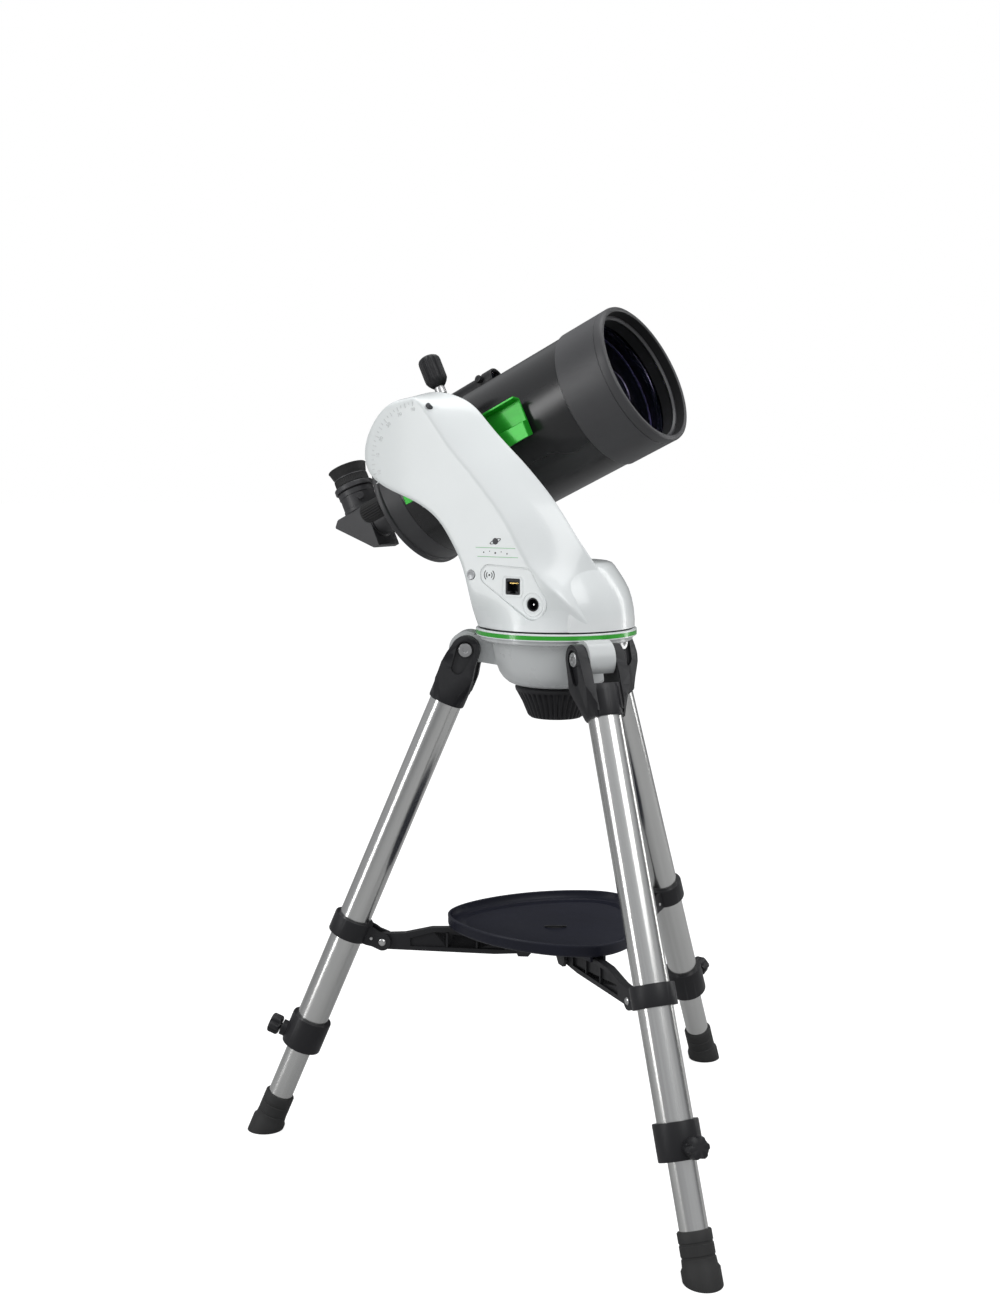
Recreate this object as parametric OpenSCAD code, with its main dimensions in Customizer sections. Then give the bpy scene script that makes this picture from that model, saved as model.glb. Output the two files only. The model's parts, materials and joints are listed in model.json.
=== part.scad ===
// Maksutov telescope on a motorised single-arm altazimuth head and a folding tripod.
// Millimetres, +Z up, the feet stand on z = 0 and the origin is under the middle of the footprint.
// Rest pose: legs open, lower legs pushed in, tube raised 25 degrees.

/* [Pose] */
// Height angle of the tube above the horizon
tube_altitude = 25; // [5:1:40]
// Heading of the tube, seen from above
arm_heading = -25; // [-60:1:60]

/* [Tripod] */
// Angle between a leg and the vertical
leg_splay = 23; // [20:1:25]
// Length of a leg from its hinge to the ground
leg_len = 545; // [530:5:560]
// Outside diameter of the upper leg tube
upper_leg_d = 32; // [30:1:34]
// Outside diameter of the lower leg tube
lower_leg_d = 25; // [22:1:26]
// Distance down the leg from its hinge to the spreader collar
collar_down = 308; // [290:1:320]
// Reach of the tray from its middle to a rounded corner
tray_reach = 107; // [95:1:112]

/* [Tripod head] */
// Radius of the coloured trim ring
ring_r = 78; // [77:0.5:80]
// Distance of a leg hinge from the azimuth axis
hinge_r = 86; // [85:0.5:90]
// Depth of the leg hinges below the trim ring
hinge_drop = 18.5; // [17:0.5:20]

/* [Arm] */
// Distance of the altitude axis behind the azimuth axis
alt_back = 117; // [114:1:120]
// Height of the altitude axis above the trim ring
alt_up = 165.3; // [163:0.1:168]
// Wall thickness of the moulded shells
shell_wall = 3.2; // [2.8:0.1:3.6]

/* [Telescope tube] */
// Outside diameter of the main tube
tube_d = 140; // [138:0.5:142]
// Distance of the tube axis from the azimuth axis, sideways
tube_side = 65.6; // [65:0.1:70]
// Distance from the altitude axis to the front rim
front_reach = 196; // [190:1:205]
// Distance from the altitude axis to the rear rim
rear_reach = 102; // [98:1:106]
// Radius of the 1.25 inch eyepiece barrels
barrel_r = 15.87; // [15.87]

/* [Hidden] */
$fn = 96;

// ---- places of the bodies ----
leg_r = upper_leg_d / 2;
inner_leg_r = lower_leg_d / 2;
leg_heading = 180;
ring_up = hinge_drop + leg_len * cos(leg_splay);
foot_reach = hinge_r + leg_len * sin(leg_splay);
foot_r = 17;
foot_slant = foot_r / cos(leg_splay);
foot_side = norm([foot_slant / 2, foot_r * sin(60)]);
// Puts the middle of the footprint's bounding box on x = 0
axis_x = (foot_reach / 2 + foot_slant - foot_side) / 2;
tube_r = tube_d / 2;

module head_frame() translate([axis_x, 0, ring_up]) children();
module arm_frame() head_frame() rotate([0, 0, arm_heading]) children();
module saddle_frame() arm_frame() translate([-alt_back, 0, alt_up]) rotate([0, -tube_altitude, 0]) children();
module tube_frame() saddle_frame() translate([0, tube_side, 0]) children();
module diagonal_frame() tube_frame() children();
module leg_side(k) head_frame() rotate([0, 0, leg_heading + 120 * k]) children();
module leg_frame(k) leg_side(k) translate([hinge_r, 0, -hinge_drop]) rotate([0, -leg_splay, 0]) children();

// ---- plain shapes ----
// Cylinder along +X from x0 to x1
module rod_x(x0, x1, r) translate([x0, 0, 0]) rotate([0, 90, 0]) cylinder(r = r, h = x1 - x0);
// Cylinder along +Y from y0 to y1
module rod_y(y0, y1, r) translate([0, y0, 0]) rotate([-90, 0, 0]) cylinder(r = r, h = y1 - y0);
// Cylinder along +Z from z0 to z1
module rod_z(z0, z1, r) translate([0, 0, z0]) cylinder(r = r, h = z1 - z0);
// Solid of revolution about X; the profile's first coordinate is the radius, the second is x
module turned_x(profile) rotate([0, 90, 0]) rotate_extrude() polygon(profile);
// Slab in the XZ plane, from y0 to y1
module slab_y(outline, y0, y1) translate([0, y1, 0]) rotate([90, 0, 0])
    linear_extrude(y1 - y0) polygon(outline);
module slab_box(low, high) translate(low) cube(high - low);

// ---- tripod head ----
hub_floor = -53;
lug_r = 17.5;
// Block that fills the space between the ears of a leg's yoke, round on top and flat below
module hub_lug() difference() {
    union() {
        slab_box([55, -13, -31], [hinge_r, 13, lug_r - hinge_drop]);
        translate([hinge_r, 0, -hinge_drop]) rod_y(-13, 13, lug_r);
    }
    slab_box([50, -14, -50], [120, 14, -31]);
}
module tripod_hub() color("gainsboro") head_frame() difference() {
    union() {
        rotate_extrude() polygon([[6, 3.4], [74, 3.4], [74, -7], [63, -7], [62, -12], [59.5, -24],
            [56.5, -36], [52, -44], [46, -50], [38, hub_floor], [6, hub_floor]]);
        difference() {
            for (k = [1:3]) rotate([0, 0, leg_heading + 120 * k]) hub_lug();
            rod_z(-3.9, 10, ring_r + 0.5);
        }
    }
    rotate_extrude() polygon([[0, 0], [66, 0], [66, -3.5], [59, -7], [58, -12], [55.8, -24],
        [52.6, -36], [48.5, -42], [43, -46.5], [36, -48.5], [0, -48.5]]);
    rod_z(-1, 4, shaft_r + 0.06);
    rod_z(hub_floor - 1, 0, stud_r + 0.06);
    for (k = [1:3]) rotate([0, 0, leg_heading + 120 * k])
        translate([hinge_r, 0, -hinge_drop]) rod_y(-14, 14, hinge_bolt_r);
}
module trim_ring() color("limegreen") head_frame() rotate_extrude()
    polygon([[74, -3.6], [77.4, -3.6], [ring_r, -3], [ring_r, 2.8], [77.4, 3.4], [74, 3.4]]);

shaft_r = 12;
stud_r = 6;
az_wheel_r = 22;
az_worm_r = 5;
az_mesh = az_wheel_r + az_worm_r + 0.6;
module azimuth_shaft() color("silver") head_frame() union() {
    rod_z(-40, 5, shaft_r);
    rod_z(5, 9, shaft_r - 2);
    rod_z(9, 12, shaft_r + 6);
}
module azimuth_wheel() color("goldenrod") head_frame() difference() {
    rod_z(-24, -16, az_wheel_r);
    rod_z(-25, -15, shaft_r);
}
module azimuth_motor() color("dimgray") head_frame() translate([az_mesh, 0, -20]) {
    rod_y(-12, 14, az_worm_r);
    rod_y(14, 36, 8);
    slab_box([-7, 15, 4], [7, 34, 20]);
}

hinge_bolt_r = 4;
ear_gap = 0.5;
ear_in = 13 + ear_gap;
ear_out = 23.5;
module hinge_bolts() color("silver") for (k = [1:3]) leg_frame(k) {
    rod_y(-ear_out + 2.6, ear_out - 2.6, hinge_bolt_r);
    rod_y(-ear_out + 0.2, -ear_out + 2.6, 7);
    rod_y(ear_out - 2.6, ear_out - 0.2, 7);
}

// ---- knob under the head ----
module hub_knob() color("black") head_frame() {
    difference() {
        rotate_extrude() polygon([[0, hub_floor - 0.6], [39, hub_floor - 0.6], [40, hub_floor - 3],
            [27.5, -83], [25, -85], [0, -85]]);
        for (i = [0:23]) rotate([0, 0, i * 15]) translate([41, 0, hub_floor - 2])
            rotate([0, -24, 0]) rod_z(-40, 4, 1.6);
    }
    rod_z(hub_floor - 1, -42, stud_r);
}

// ---- moulded arm: one row per section, from the foot of the arm to the top of its head ----
// Each row: [left edge x, z], [crease x, z], [right edge x, z], y of the far side
side_y = -66;
far_y = -30;
base_r = 76;
base_z = 5;
arm_rows = [
    [[-60, 5], [66, 5], [58, 5], 10],
    [[-57, 25], [50, 34], [62, 40], 0],
    [[-63, 53], [19, 56], [54, 71], -20],
    [[-70, 72], [4, 74], [44, 88], -28],
    [[-81, 90], [-12, 103], [29, 112], far_y],
    [[-93, 107], [-28, 122], [14, 131], far_y],
    [[-110, 119], [-44, 140], [-2, 148], far_y],
    [[-128, 127], [-60, 157], [-19, 165], far_y],
    [[-146, 133], [-77, 173], [-35, 179], far_y],
    [[-165, 141], [-88, 187], [-54, 197], far_y],
    [[-178, 152], [-96, 197], [-68, 213], far_y],
    [[-183, 168], [-102, 205], [-82, 223], far_y],
    [[-179, 188], [-108, 212], [-102, 229.5], far_y],
    [[-165, 209], [-115, 219], [-118, 231.3], far_y],
    [[-146, 223], [-124, 226], [-130, 230.5], far_y]];
function mix(p, q, t) = p + (q - p) * t;
function unit(v) = v / norm(v);
// Point on the round foot of the arm at an angle
function foot_point(a, in) = [(base_r - in) * cos(a), (base_r - in) * sin(a)];
foot_left = -142.2;
foot_crease = -29.7;
// Closed ring of points [x, y, z] of one section, moved inwards by in
function arm_ring(i, in) =
    let (row = arm_rows[i], dir = unit(row[2] - row[0]), l = row[0] + dir * in,
         c = row[1] - dir * in * 1.2, r = row[2] - dir * in,
         near = side_y + in, far = row[3] - in, foot = i == 0,
         slope = unit([r[0] - c[0] + 0.01, far - near]),
         foot_far = -180 - asin(far / (base_r - in)), z = l[1])
    concat(
        [for (j = [0:7]) let (t = j / 7, p = mix(l, c, t), f = foot_point(mix(foot_left, foot_crease, t), in))
            foot ? [f[0], f[1], z] : [p[0], near, p[1]]],
        [for (j = [1:3]) let (t = j / 4, q = mix(c, r, t), b = foot ? 0 : 16 * t * (1 - t))
            [q[0] + b * slope[1], mix(foot ? foot_point(foot_crease, in)[1] : near, far, t) - b * slope[0] * 0.6,
             q[1]]],
        [for (j = [0:4]) let (t = j / 4, p = mix(r, foot ? [foot_point(foot_far, in)[0], z] : l, t))
            [p[0], far, p[1]]],
        [for (j = [1:3]) let (t = j / 4, b = 8 * t * (1 - t), f = foot_point(mix(foot_far, foot_left, t), in))
            foot ? [f[0], f[1], z] : [l[0] - dir[0] * b, mix(far, near, t), l[1] - dir[1] * b]]);
// Closed solid through a list of rings with the same number of points
module skin(rings) {
    n = len(rings[0]);
    m = len(rings);
    polyhedron(
        points = [for (ring = rings) for (p = ring) p],
        faces = concat(
            [[for (j = [0:n - 1]) j]],
            [for (i = [0:m - 2], j = [0:n - 1]) [i * n + j, (i + 1) * n + j, (i + 1) * n + (j + 1) % n]],
            [for (i = [0:m - 2], j = [0:n - 1]) [i * n + j, (i + 1) * n + (j + 1) % n, i * n + (j + 1) % n]],
            [[for (j = [n - 1:-1:0]) (m - 1) * n + j]]));
}
function moved(ring, v) = [for (p = ring) p + v];
module arm_solid(in = 0) skin([for (i = [0:len(arm_rows) - 1]) arm_ring(i, in)]);
module arm_cavity() skin(concat([moved(arm_ring(0, shell_wall), [0, 0, -1])],
    [for (i = [0:len(arm_rows) - 3]) arm_ring(i, shell_wall)]));
seam_y = -57;
turntable_r = 72.6;
module turntable_seat() rod_z(4, 9.2, turntable_r + 0.9);
module arm_hollow() difference() {
    arm_solid();
    arm_cavity();
    turntable_seat();
    slab_box([-80, -12, 4], [80, 20, 9.2]);
    rod_z(8, 12.4, shaft_r + 6.4);
}
module arm_shell() color("white") arm_frame() difference() {
    arm_hollow();
    slab_box([-300, -100, -10], [200, seam_y, 300]);
    translate([-alt_back, 0, alt_up]) rod_y(-50, 0, alt_shaft_r + 0.06);
}

// Teardrop panel round the sockets, and the places of the sockets on the side of the arm
icon_at = [-35, 56];
network_at = [-9, 46];
power_at = [13, 30];
button_at = [-55.5, 55.5];
module at_side(p) translate([p[0], 0, p[1]]) children();
module panel_outline(grow, y0, y1) hull() {
    at_side(icon_at) rod_y(y0, y1, 10 + grow);
    at_side([6, 57]) rod_y(y0, y1, 7 + grow);
    at_side(power_at) rod_y(y0, y1, 14.5 + grow);
}
panel_back = side_y + 2;
module arm_side_cover() color("honeydew") arm_frame() difference() {
    intersection() {
        arm_hollow();
        slab_box([-300, -100, -10], [200, seam_y, 300]);
    }
    panel_outline(0.1, -90, panel_back);
    at_side(network_at) slab_box([-9.2, -90, -8.7], [9.2, -50, 8.7]);
    at_side(power_at) rod_y(-90, -50, 7.2);
    at_side(button_at) rod_y(-90, -50, 4.75);
}
module port_panel() color("whitesmoke") arm_frame() difference() {
    panel_outline(0, side_y + 0.4, panel_back);
    at_side(network_at) slab_box([-8, -90, -7.7], [8, -50, 7.7]);
    at_side(power_at) rod_y(-90, -50, 6.5);
}
module sockets() color("black") arm_frame() {
    at_side(network_at) difference() {
        union() {
            slab_box([-9, panel_back, -8.5], [9, -54, 8.5]);
            slab_box([-7.8, side_y + 0.8, -7.5], [7.8, -60, 7.5]);
        }
        slab_box([-6, -70, -4.5], [6, -56, 4.5]);
    }
    at_side(power_at) {
        difference() {
            union() {
                rod_y(panel_back, -54, 7);
                rod_y(side_y + 0.8, -60, 6.3);
            }
            rod_y(-70, -56, 5.2);
        }
        rod_y(-64.5, -54, 1.25);
    }
}
module power_button() color("dimgray") arm_frame() at_side(button_at) {
    rod_y(side_y - 0.8, -59, 4.5);
    slab_box([-2.5, -60, -5], [5, -58.5, 5]);
}
module circuit_board() color("darkgreen") arm_frame() {
    slab_box([-52, -54, 24], [20, -52.4, 62]);
    slab_box([-40, -52.4, 32], [-24, -50, 48]);
    slab_box([-12, -52.4, 30], [0, -48.4, 42]);
    for (x = [-46, 14]) at_side([x, 56]) rod_y(-52.4, -44, 2.5);
}

// ---- rear cover over the azimuth drive, a dome on the round foot ----
dome_profile = [[0, 5], [76, 5], [76, 12], [73.4, 31], [66, 48.6], [57.5, 61.7], [53.6, 66.2], [49.5, 67.5],
    [0, 67.5]];
module dome(in) rotate_extrude() polygon([for (p = dome_profile)
    [max(0, p[0] - (p[0] > 0 ? in : 0)), p[1] > 60 ? p[1] - in : p[1] < 6 ? p[1] - in : p[1]]]);
module dome_plan() linear_extrude(80) polygon([[-80, 13], [-40, 13], [20, 4], [44, -18], [62, -38],
    [90, -50], [90, 90], [-80, 90]]);
module arm_rear_cover() color("white") arm_frame() difference() {
    intersection() {
        difference() {
            dome(0);
            dome(shell_wall);
        }
        dome_plan();
    }
    arm_solid(-0.4);
    turntable_seat();
}
module turntable() color("lightgray") head_frame() difference() {
    union() {
        rod_z(5, 9, turntable_r);
        rotate([0, 0, arm_heading]) for (p = [[-40, 30], [40, 40], [-30, -40]])
            translate([p[0], p[1], 0]) rod_z(8, 16, 4);
    }
    rod_z(4, 20, shaft_r - 2);
}

// ---- altitude drive ----
alt_shaft_r = 14;
alt_wheel_r = 30;
alt_worm_r = 5;
alt_mesh = alt_wheel_r + alt_worm_r + 0.6;
wheel_y = -46;
module altitude_motor() color("dimgray") arm_frame() translate([-alt_back + alt_mesh, wheel_y, 0]) {
    rod_z(148, 182, alt_worm_r);
    rod_z(114, 148, 9.5);
    slab_box([-6, 4, 120], [6, far_y - shell_wall - wheel_y, 142]);
}
module altitude_shaft() color("silver") saddle_frame() rod_y(-60, saddle_back, alt_shaft_r);
module altitude_wheel() color("goldenrod") saddle_frame() difference() {
    rod_y(wheel_y - 4, wheel_y + 4, alt_wheel_r);
    rod_y(wheel_y - 5, wheel_y + 5, alt_shaft_r);
}

// ---- saddle and dovetail bar ----
saddle_back = -29.4;
bar_back = -20;
bar_half = 22;
bar_top_half = 19;
bar_front = 97;
bar_rear = -62;
jaw_y = -9;
knob_x = 21;
knob_y = -14.5;
knob_screw_r = 4;
module saddle() color("silver") saddle_frame() difference() {
    union() {
        rod_y(saddle_back, bar_back - 0.2, 38);
        slab_box([-40, bar_back - 6, -34], [40, bar_back - 0.2, 34]);
        slab_box([-40, bar_back - 1, -34], [40, jaw_y, -bar_top_half - 0.6]);
        slab_box([-40, bar_back - 1, bar_top_half + 0.6], [40, jaw_y, 34]);
    }
    rotate([90, 0, 90]) translate([0, 0, -60]) linear_extrude(120)
        polygon([[bar_back - 0.2, -bar_half - 0.3], [bar_back - 0.2, bar_half + 0.3],
                 [jaw_y + 1, bar_top_half + 0.3], [jaw_y + 1, -bar_top_half - 0.3]]);
    translate([knob_x, knob_y, 0]) rod_z(0, 40, knob_screw_r + 0.06);
}
module clamp_knob() color("black") saddle_frame() translate([knob_x, knob_y, 0]) {
    rod_z(24, 68, knob_screw_r);
    difference() {
        rotate_extrude() polygon([[0, 68], [6, 68], [9.5, 71], [11.5, 76],
            [11.5, 96], [9.5, 100], [0, 101]]);
        for (i = [0:11]) rotate([0, 0, i * 30]) translate([12.3, 0, 0]) rod_z(70, 102, 1.7);
    }
}
module dovetail_bar() color("limegreen") saddle_frame() difference() {
    union() {
        translate([bar_rear, 0, 0]) rotate([90, 0, 90]) linear_extrude(bar_front - bar_rear)
            polygon([[bar_back, -bar_half], [bar_back, -6], [bar_back + 4.5, -4.6], [bar_back + 6, 17.4],
                     [bar_back, 18.8], [bar_back, bar_half], [jaw_y, bar_top_half], [jaw_y, -bar_top_half]]);
        slab_box([bar_rear + 2, jaw_y - 1, -15], [bar_front - 9, tube_side - tube_r + 6, 15]);
    }
    translate([0, tube_side, 0]) rod_x(-200, 200, tube_r);
}

// ---- telescope tube ----
spigot_r = tube_r - 1.6;
cell_back = 140;
module main_tube() color([0.1, 0.1, 0.11]) tube_frame() difference() {
    rod_x(-75, cell_back, tube_r);
    rod_x(-80, cell_back + 5, spigot_r);
}
aperture_r = 66;
module front_cell() color([0.2, 0.2, 0.21]) tube_frame() turned_x([
    [tube_r + 1.5, cell_back], [tube_r + 1.5, front_reach - 3], [tube_r - 0.5, front_reach],
    [aperture_r + 0.8, front_reach], [aperture_r, front_reach - 0.8], [aperture_r, 176], [63, 176],
    [63, 172], [lens_r, 172], [lens_r, 160], [62, 160], [62, 130], [spigot_r, 130],
    [spigot_r, cell_back]]);
lens_r = 66.4;
module corrector_lens() color([0.35, 0.3, 0.6, 0.5]) tube_frame() difference() {
    rod_x(160, 172, lens_r);
    translate([168.5 + 300, 0, 0]) sphere(r = 300, $fn = 160);
}
module secondary_baffle() color("black") tube_frame() turned_x([
    [0, 160], [20, 160], [20, 157], [17, 157], [15, 132], [13.6, 132], [15.5, 155], [0, 155]]);
module rear_cell() color([0.25, 0.25, 0.26]) tube_frame() difference() {
    turned_x([[spigot_r, -65], [spigot_r, -75], [tube_r, -75], [tube_r, -97], [tube_r + 2.5, -97],
        [tube_r + 2.5, -rear_reach], [tube_r - 4, -rear_reach], [52, -109], [baffle_r, -109],
        [baffle_r, -104], [62, -98], [64, -65]]);
    translate([0, focus_side, focus_up]) rod_x(-112, -90, focus_shaft_r + 0.06);
}
baffle_r = 20;
module baffle_tube() color("black") tube_frame() difference() {
    rod_x(-109, 60, baffle_r);
    rod_x(-110, 61, baffle_r - 1.5);
}
mirror_bore = baffle_r + 0.06;
module primary_mirror() color("silver") tube_frame() difference() {
    union() {
        rod_x(-62, -44, 61);
        rod_x(-76, -34, mirror_bore + 3);
    }
    rod_x(-80, -20, mirror_bore);
    difference() {
        translate([-44 - 4 + 420, 0, 0]) sphere(r = 420, $fn = 160);
        rod_x(-80, 0, mirror_bore + 3);
    }
}
focus_side = -38;
focus_up = 4;
focus_shaft_r = 3.5;
module focus_knob() color("black") tube_frame() translate([0, focus_side, focus_up]) {
    rod_x(-120, -92, focus_shaft_r);
    difference() {
        turned_x([[0, -118], [9, -118], [11, -121], [11, -144], [9.5, -146], [0, -146]]);
        for (i = [0:17]) rotate([i * 20, 0, 0]) translate([0, 11.6, 0]) rod_x(-148, -120, 1.2);
    }
}

// ---- visual back, diagonal and eyepiece ----
eye_x = -174;
module visual_back() color("dimgray") tube_frame() difference() {
    union() {
        rod_x(-113.5, -109, 26);
        rod_x(-130, -113.5, 22);
    }
    rod_x(-131, -108, barrel_r + 0.06);
}
prism_outline = [[-159, 15], [-189, 15], [-159, -15]];
module diagonal_housing() color([0.2, 0.2, 0.22]) diagonal_frame() difference() {
    union() {
        rod_x(-158, -111, barrel_r);
        rod_x(-136, -130.6, 19);
        slab_y([[-157, 20], [-197.5, 20], [-204, 13.5], [-164, -27.5], [-157, -27.5]], -18.5, 18.5);
        translate([eye_x, 0, 0]) rod_z(19, 44, 20);
    }
    slab_y(prism_outline, -14, 14);
    rod_x(-160, -100, 13.5);
    translate([eye_x, 0, 0]) {
        rod_z(22, 60, barrel_r + 0.06);
        rod_z(14, 30, 13.5);
    }
}
module diagonal_prism() color([0.7, 0.8, 0.9, 0.5]) diagonal_frame() slab_y(prism_outline, -14, 14);
module eyepiece() color("black") diagonal_frame() translate([eye_x, 0, 0]) difference() {
    union() {
        rod_z(23, 44.4, barrel_r);
        rod_z(44.4, 50, 22);
        rod_z(50, 60, 18.8);
    }
    rod_z(18, 64, 11.5);
}
module eyecup() color([0.08, 0.08, 0.08]) diagonal_frame() translate([eye_x, 0, 0])
    rotate_extrude() polygon([[11.5, 60], [18, 60], [18.6, 62], [21.5, 71], [19.5, 71], [16, 64],
        [11.5, 63]]);

// ---- red dot finder ----
finder_up = 88.5;
// The finder sits on the shoulder of the tube that is away from the arm
finder_round = 22;
module finder_frame() tube_frame() rotate([-finder_round, 0, 0]) children();
module finder_shoe() color("black") finder_frame() difference() {
    slab_box([-28, -9, 66], [19.5, 9, 75.5]);
    rod_x(-60, 60, tube_r);
}
module finder_body() color("black") finder_frame() difference() {
    union() {
        translate([0, 0, finder_up]) rod_x(-38, 34, 12);
        translate([0, 0, finder_up]) rod_x(20, 34, 13.8);
        slab_box([-36, -7, 75.5], [20, 7, 84]);
    }
    translate([0, 0, finder_up]) rod_x(-34, 40, 10.5);
}
module finder_dial() color("dimgray") finder_frame() translate([-24, 0, finder_up]) rod_y(12.5, 18.5, 7);

// ---- spreader and tray ----
hinge_in = 36;
pin_r = 3;
spread_r = hinge_r + collar_down * sin(leg_splay) - hinge_in * cos(leg_splay);
spread_z = -hinge_drop - collar_down * cos(leg_splay) - hinge_in * sin(leg_splay);
hub_pin_r = 30;
tray_under = 20;
arm_half = 4;
module spreader_arm(k) color("black") leg_side(k) translate([0, 0, spread_z]) difference() {
    union() {
        slab_y([[spread_r - 2, -8], [spread_r - 2, 8], [spread_r - 22, 9], [124, 15.5], [98, 16.5],
                [62, 12], [hub_pin_r, 7], [hub_pin_r, -7], [60, -9]], -arm_half, arm_half);
        translate([spread_r, 0, 0]) rod_y(-arm_half, arm_half, 8);
        translate([hub_pin_r, 0, 0]) rod_y(-arm_half, arm_half, 7);
    }
    translate([spread_r, 0, 0]) rod_y(-10, 10, pin_r + 0.06);
    for (s = [-1, 1]) slab_y([[spread_r - 28, -4], [spread_r - 28, 4], [122, 11], [100, 12], [64, 7.5],
        [50, 4], [50, -4]], s > 0 ? 1.6 : -10, s > 0 ? 10 : -1.6);
}
module spreader_hub() color("black") head_frame() translate([0, 0, spread_z]) {
    rod_z(tray_under - 3, tray_under, 40);
    rod_z(tray_under - 6, tray_under - 2, 12);
    for (k = [1:3]) rotate([0, 0, leg_heading + 120 * k]) for (s = [-1, 1])
        slab_y([[20, tray_under - 1], [20, -2], [26, -9], [36, -9], [39, -2], [39, tray_under - 1]],
            s * 6.5 - 1.7, s * 6.5 + 1.7);
}
tray_deep = 12;
// Rounded triangle with bulging sides; grow moves its edge
module tray_plan(grow) offset(r = 30 + grow, $fn = 72) offset(delta = -30) intersection_for(k = [1:3])
    rotate(leg_heading + 60 + 120 * k) translate([-80, 0]) circle(r = 80 + tray_reach * 0.84, $fn = 96);
module tray() color([0.1, 0.11, 0.15]) head_frame() translate([0, 0, spread_z + tray_under]) {
    difference() {
        linear_extrude(tray_deep) tray_plan(0);
        translate([0, 0, 3]) linear_extrude(tray_deep) tray_plan(-3);
    }
    for (k = [1:3]) rotate([0, 0, leg_heading + 120 * k]) for (s = [-1, 1])
        slab_box([84, s * 6.7 - 1.5, -7], [97, s * 6.7 + 1.5, 0.5]);
}

// ---- legs ----
tube_top = -34;
tube_end = -428;
lock_end = -446;
yoke_outline = concat([for (a = [0:15:180]) [14 * cos(a), 14 * sin(a)]],
    [[-15.4, -14], [-18, -24], [-18, -46], [17.4, -46], [17.4, -19], [16, -9]]);
// The ears close in to a round socket: across the ears, and all round
yoke_taper = [[-ear_out, 20], [-ear_out, -21], [-19, -59], [19, -59], [ear_out, -21], [ear_out, 20]];
yoke_cone = [[0, 30], [44, 30], [44, -16], [28.5, -28], [22.4, -44], [18.8, -58], [0, -58]];
module leg_yoke(k) color("black") leg_frame(k) difference() {
    intersection() {
        union() {
            for (s = [-1, 1]) slab_y(yoke_outline, s > 0 ? ear_in : -ear_out, s > 0 ? ear_out : -ear_in);
            slab_box([-16, -ear_out, -46], [16, ear_out, -26]);
            rod_z(-57.5, -30, leg_r + 2.4);
        }
        rotate([90, 0, 90]) translate([0, 0, -30]) linear_extrude(60) polygon(yoke_taper);
        rotate_extrude($fn = 72) polygon(yoke_cone);
    }
    rod_y(-30, 30, hinge_bolt_r + 0.06);
    for (s = [-1, 1]) translate([0, s * ear_out, 0]) rod_y(-2.8, 2.8, 9);
    rod_z(-70, tube_top, leg_r);
    rod_y(-ear_in, ear_in, 20);
}
module upper_leg(k) color("lightgray") leg_frame(k) difference() {
    rod_z(tube_end, tube_top, leg_r);
    rod_z(tube_end - 1, tube_top + 1, leg_r - 1.4);
}
module leg_collars(k) color("black") leg_frame(k) {
    translate([0, 0, -collar_down]) difference() {
        union() {
            rod_z(-10, 10, leg_r + 4);
            for (s = [-1, 1]) slab_y([[-leg_r, -8], [-leg_r, 9], [-hinge_in, 8.5], [-hinge_in, -8.5]],
                s * 6.4 - 1.9, s * 6.4 + 1.9);
            for (s = [-1, 1]) translate([-hinge_in, s * 6.4, 0]) rod_y(-1.9, 1.9, 8.5);
            translate([-leg_r - 6, 0, 0]) rod_y(-7, 7, 5);
            translate([-hinge_in, 0, 0]) rod_y(-9.4, 9.4, pin_r);
        }
        rod_z(-11, 11, leg_r);
    }
    difference() {
        union() {
            rod_z(lock_end, tube_end + 14, leg_r + 4);
            translate([0, 0, lock_end + 9]) rod_x(0, leg_r + 9, 8);
        }
        rod_z(tube_end, tube_end + 20, leg_r);
        rod_z(lock_end - 1, tube_end + 1, inner_leg_r + 0.3);
        translate([0, 0, lock_end + 9]) rod_x(0, leg_r + 12, screw_r + 0.06);
    }
}
screw_r = 3;
module lock_screw(k) color("black") leg_frame(k) translate([0, 0, lock_end + 9]) {
    rod_x(inner_leg_r + 0.5, leg_r + 10.5, screw_r);
    difference() {
        rod_x(leg_r + 10.5, leg_r + 22, 10);
        for (i = [0:5]) rotate([i * 60, 0, 0]) translate([0, 12, 0]) rod_x(leg_r + 9, leg_r + 30, 4);
    }
}
module lower_leg(k) color("silver") leg_frame(k) difference() {
    rod_z(-leg_len + 24, -60, inner_leg_r);
    rod_z(-leg_len + 20, -50, inner_leg_r - 1.3);
}
module rubber_foot(k) color([0.06, 0.06, 0.06]) difference() {
    leg_frame(k) difference() {
        union() {
            rod_z(-leg_len + 8, -leg_len + 42, foot_r - 2);
            rod_z(-leg_len - 14, -leg_len + 12, foot_r);
        }
        rod_z(-leg_len + 24, -leg_len + 60, inner_leg_r);
    }
    slab_box([-500, -500, -100], [500, 500, 0]);
}

tripod_hub();
trim_ring();
azimuth_motor();
hinge_bolts();
turntable();
azimuth_shaft();
azimuth_wheel();
arm_shell();
arm_side_cover();
arm_rear_cover();
port_panel();
sockets();
circuit_board();
altitude_motor();
altitude_shaft();
altitude_wheel();
saddle();
dovetail_bar();
main_tube();
front_cell();
corrector_lens();
secondary_baffle();
rear_cell();
baffle_tube();
visual_back();
finder_shoe();
finder_body();
clamp_knob();
focus_knob();
primary_mirror();
diagonal_housing();
diagonal_prism();
eyepiece();
eyecup();
finder_dial();
hub_knob();
power_button();
spreader_hub();
tray();
for (k = [1:3]) {
    leg_yoke(k);
    upper_leg(k);
    leg_collars(k);
    spreader_arm(k);
    lock_screw(k);
    lower_leg(k);
    rubber_foot(k);
}
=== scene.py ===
import json
import math

import bmesh
import bpy
from mathutils import Matrix, Vector


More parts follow.
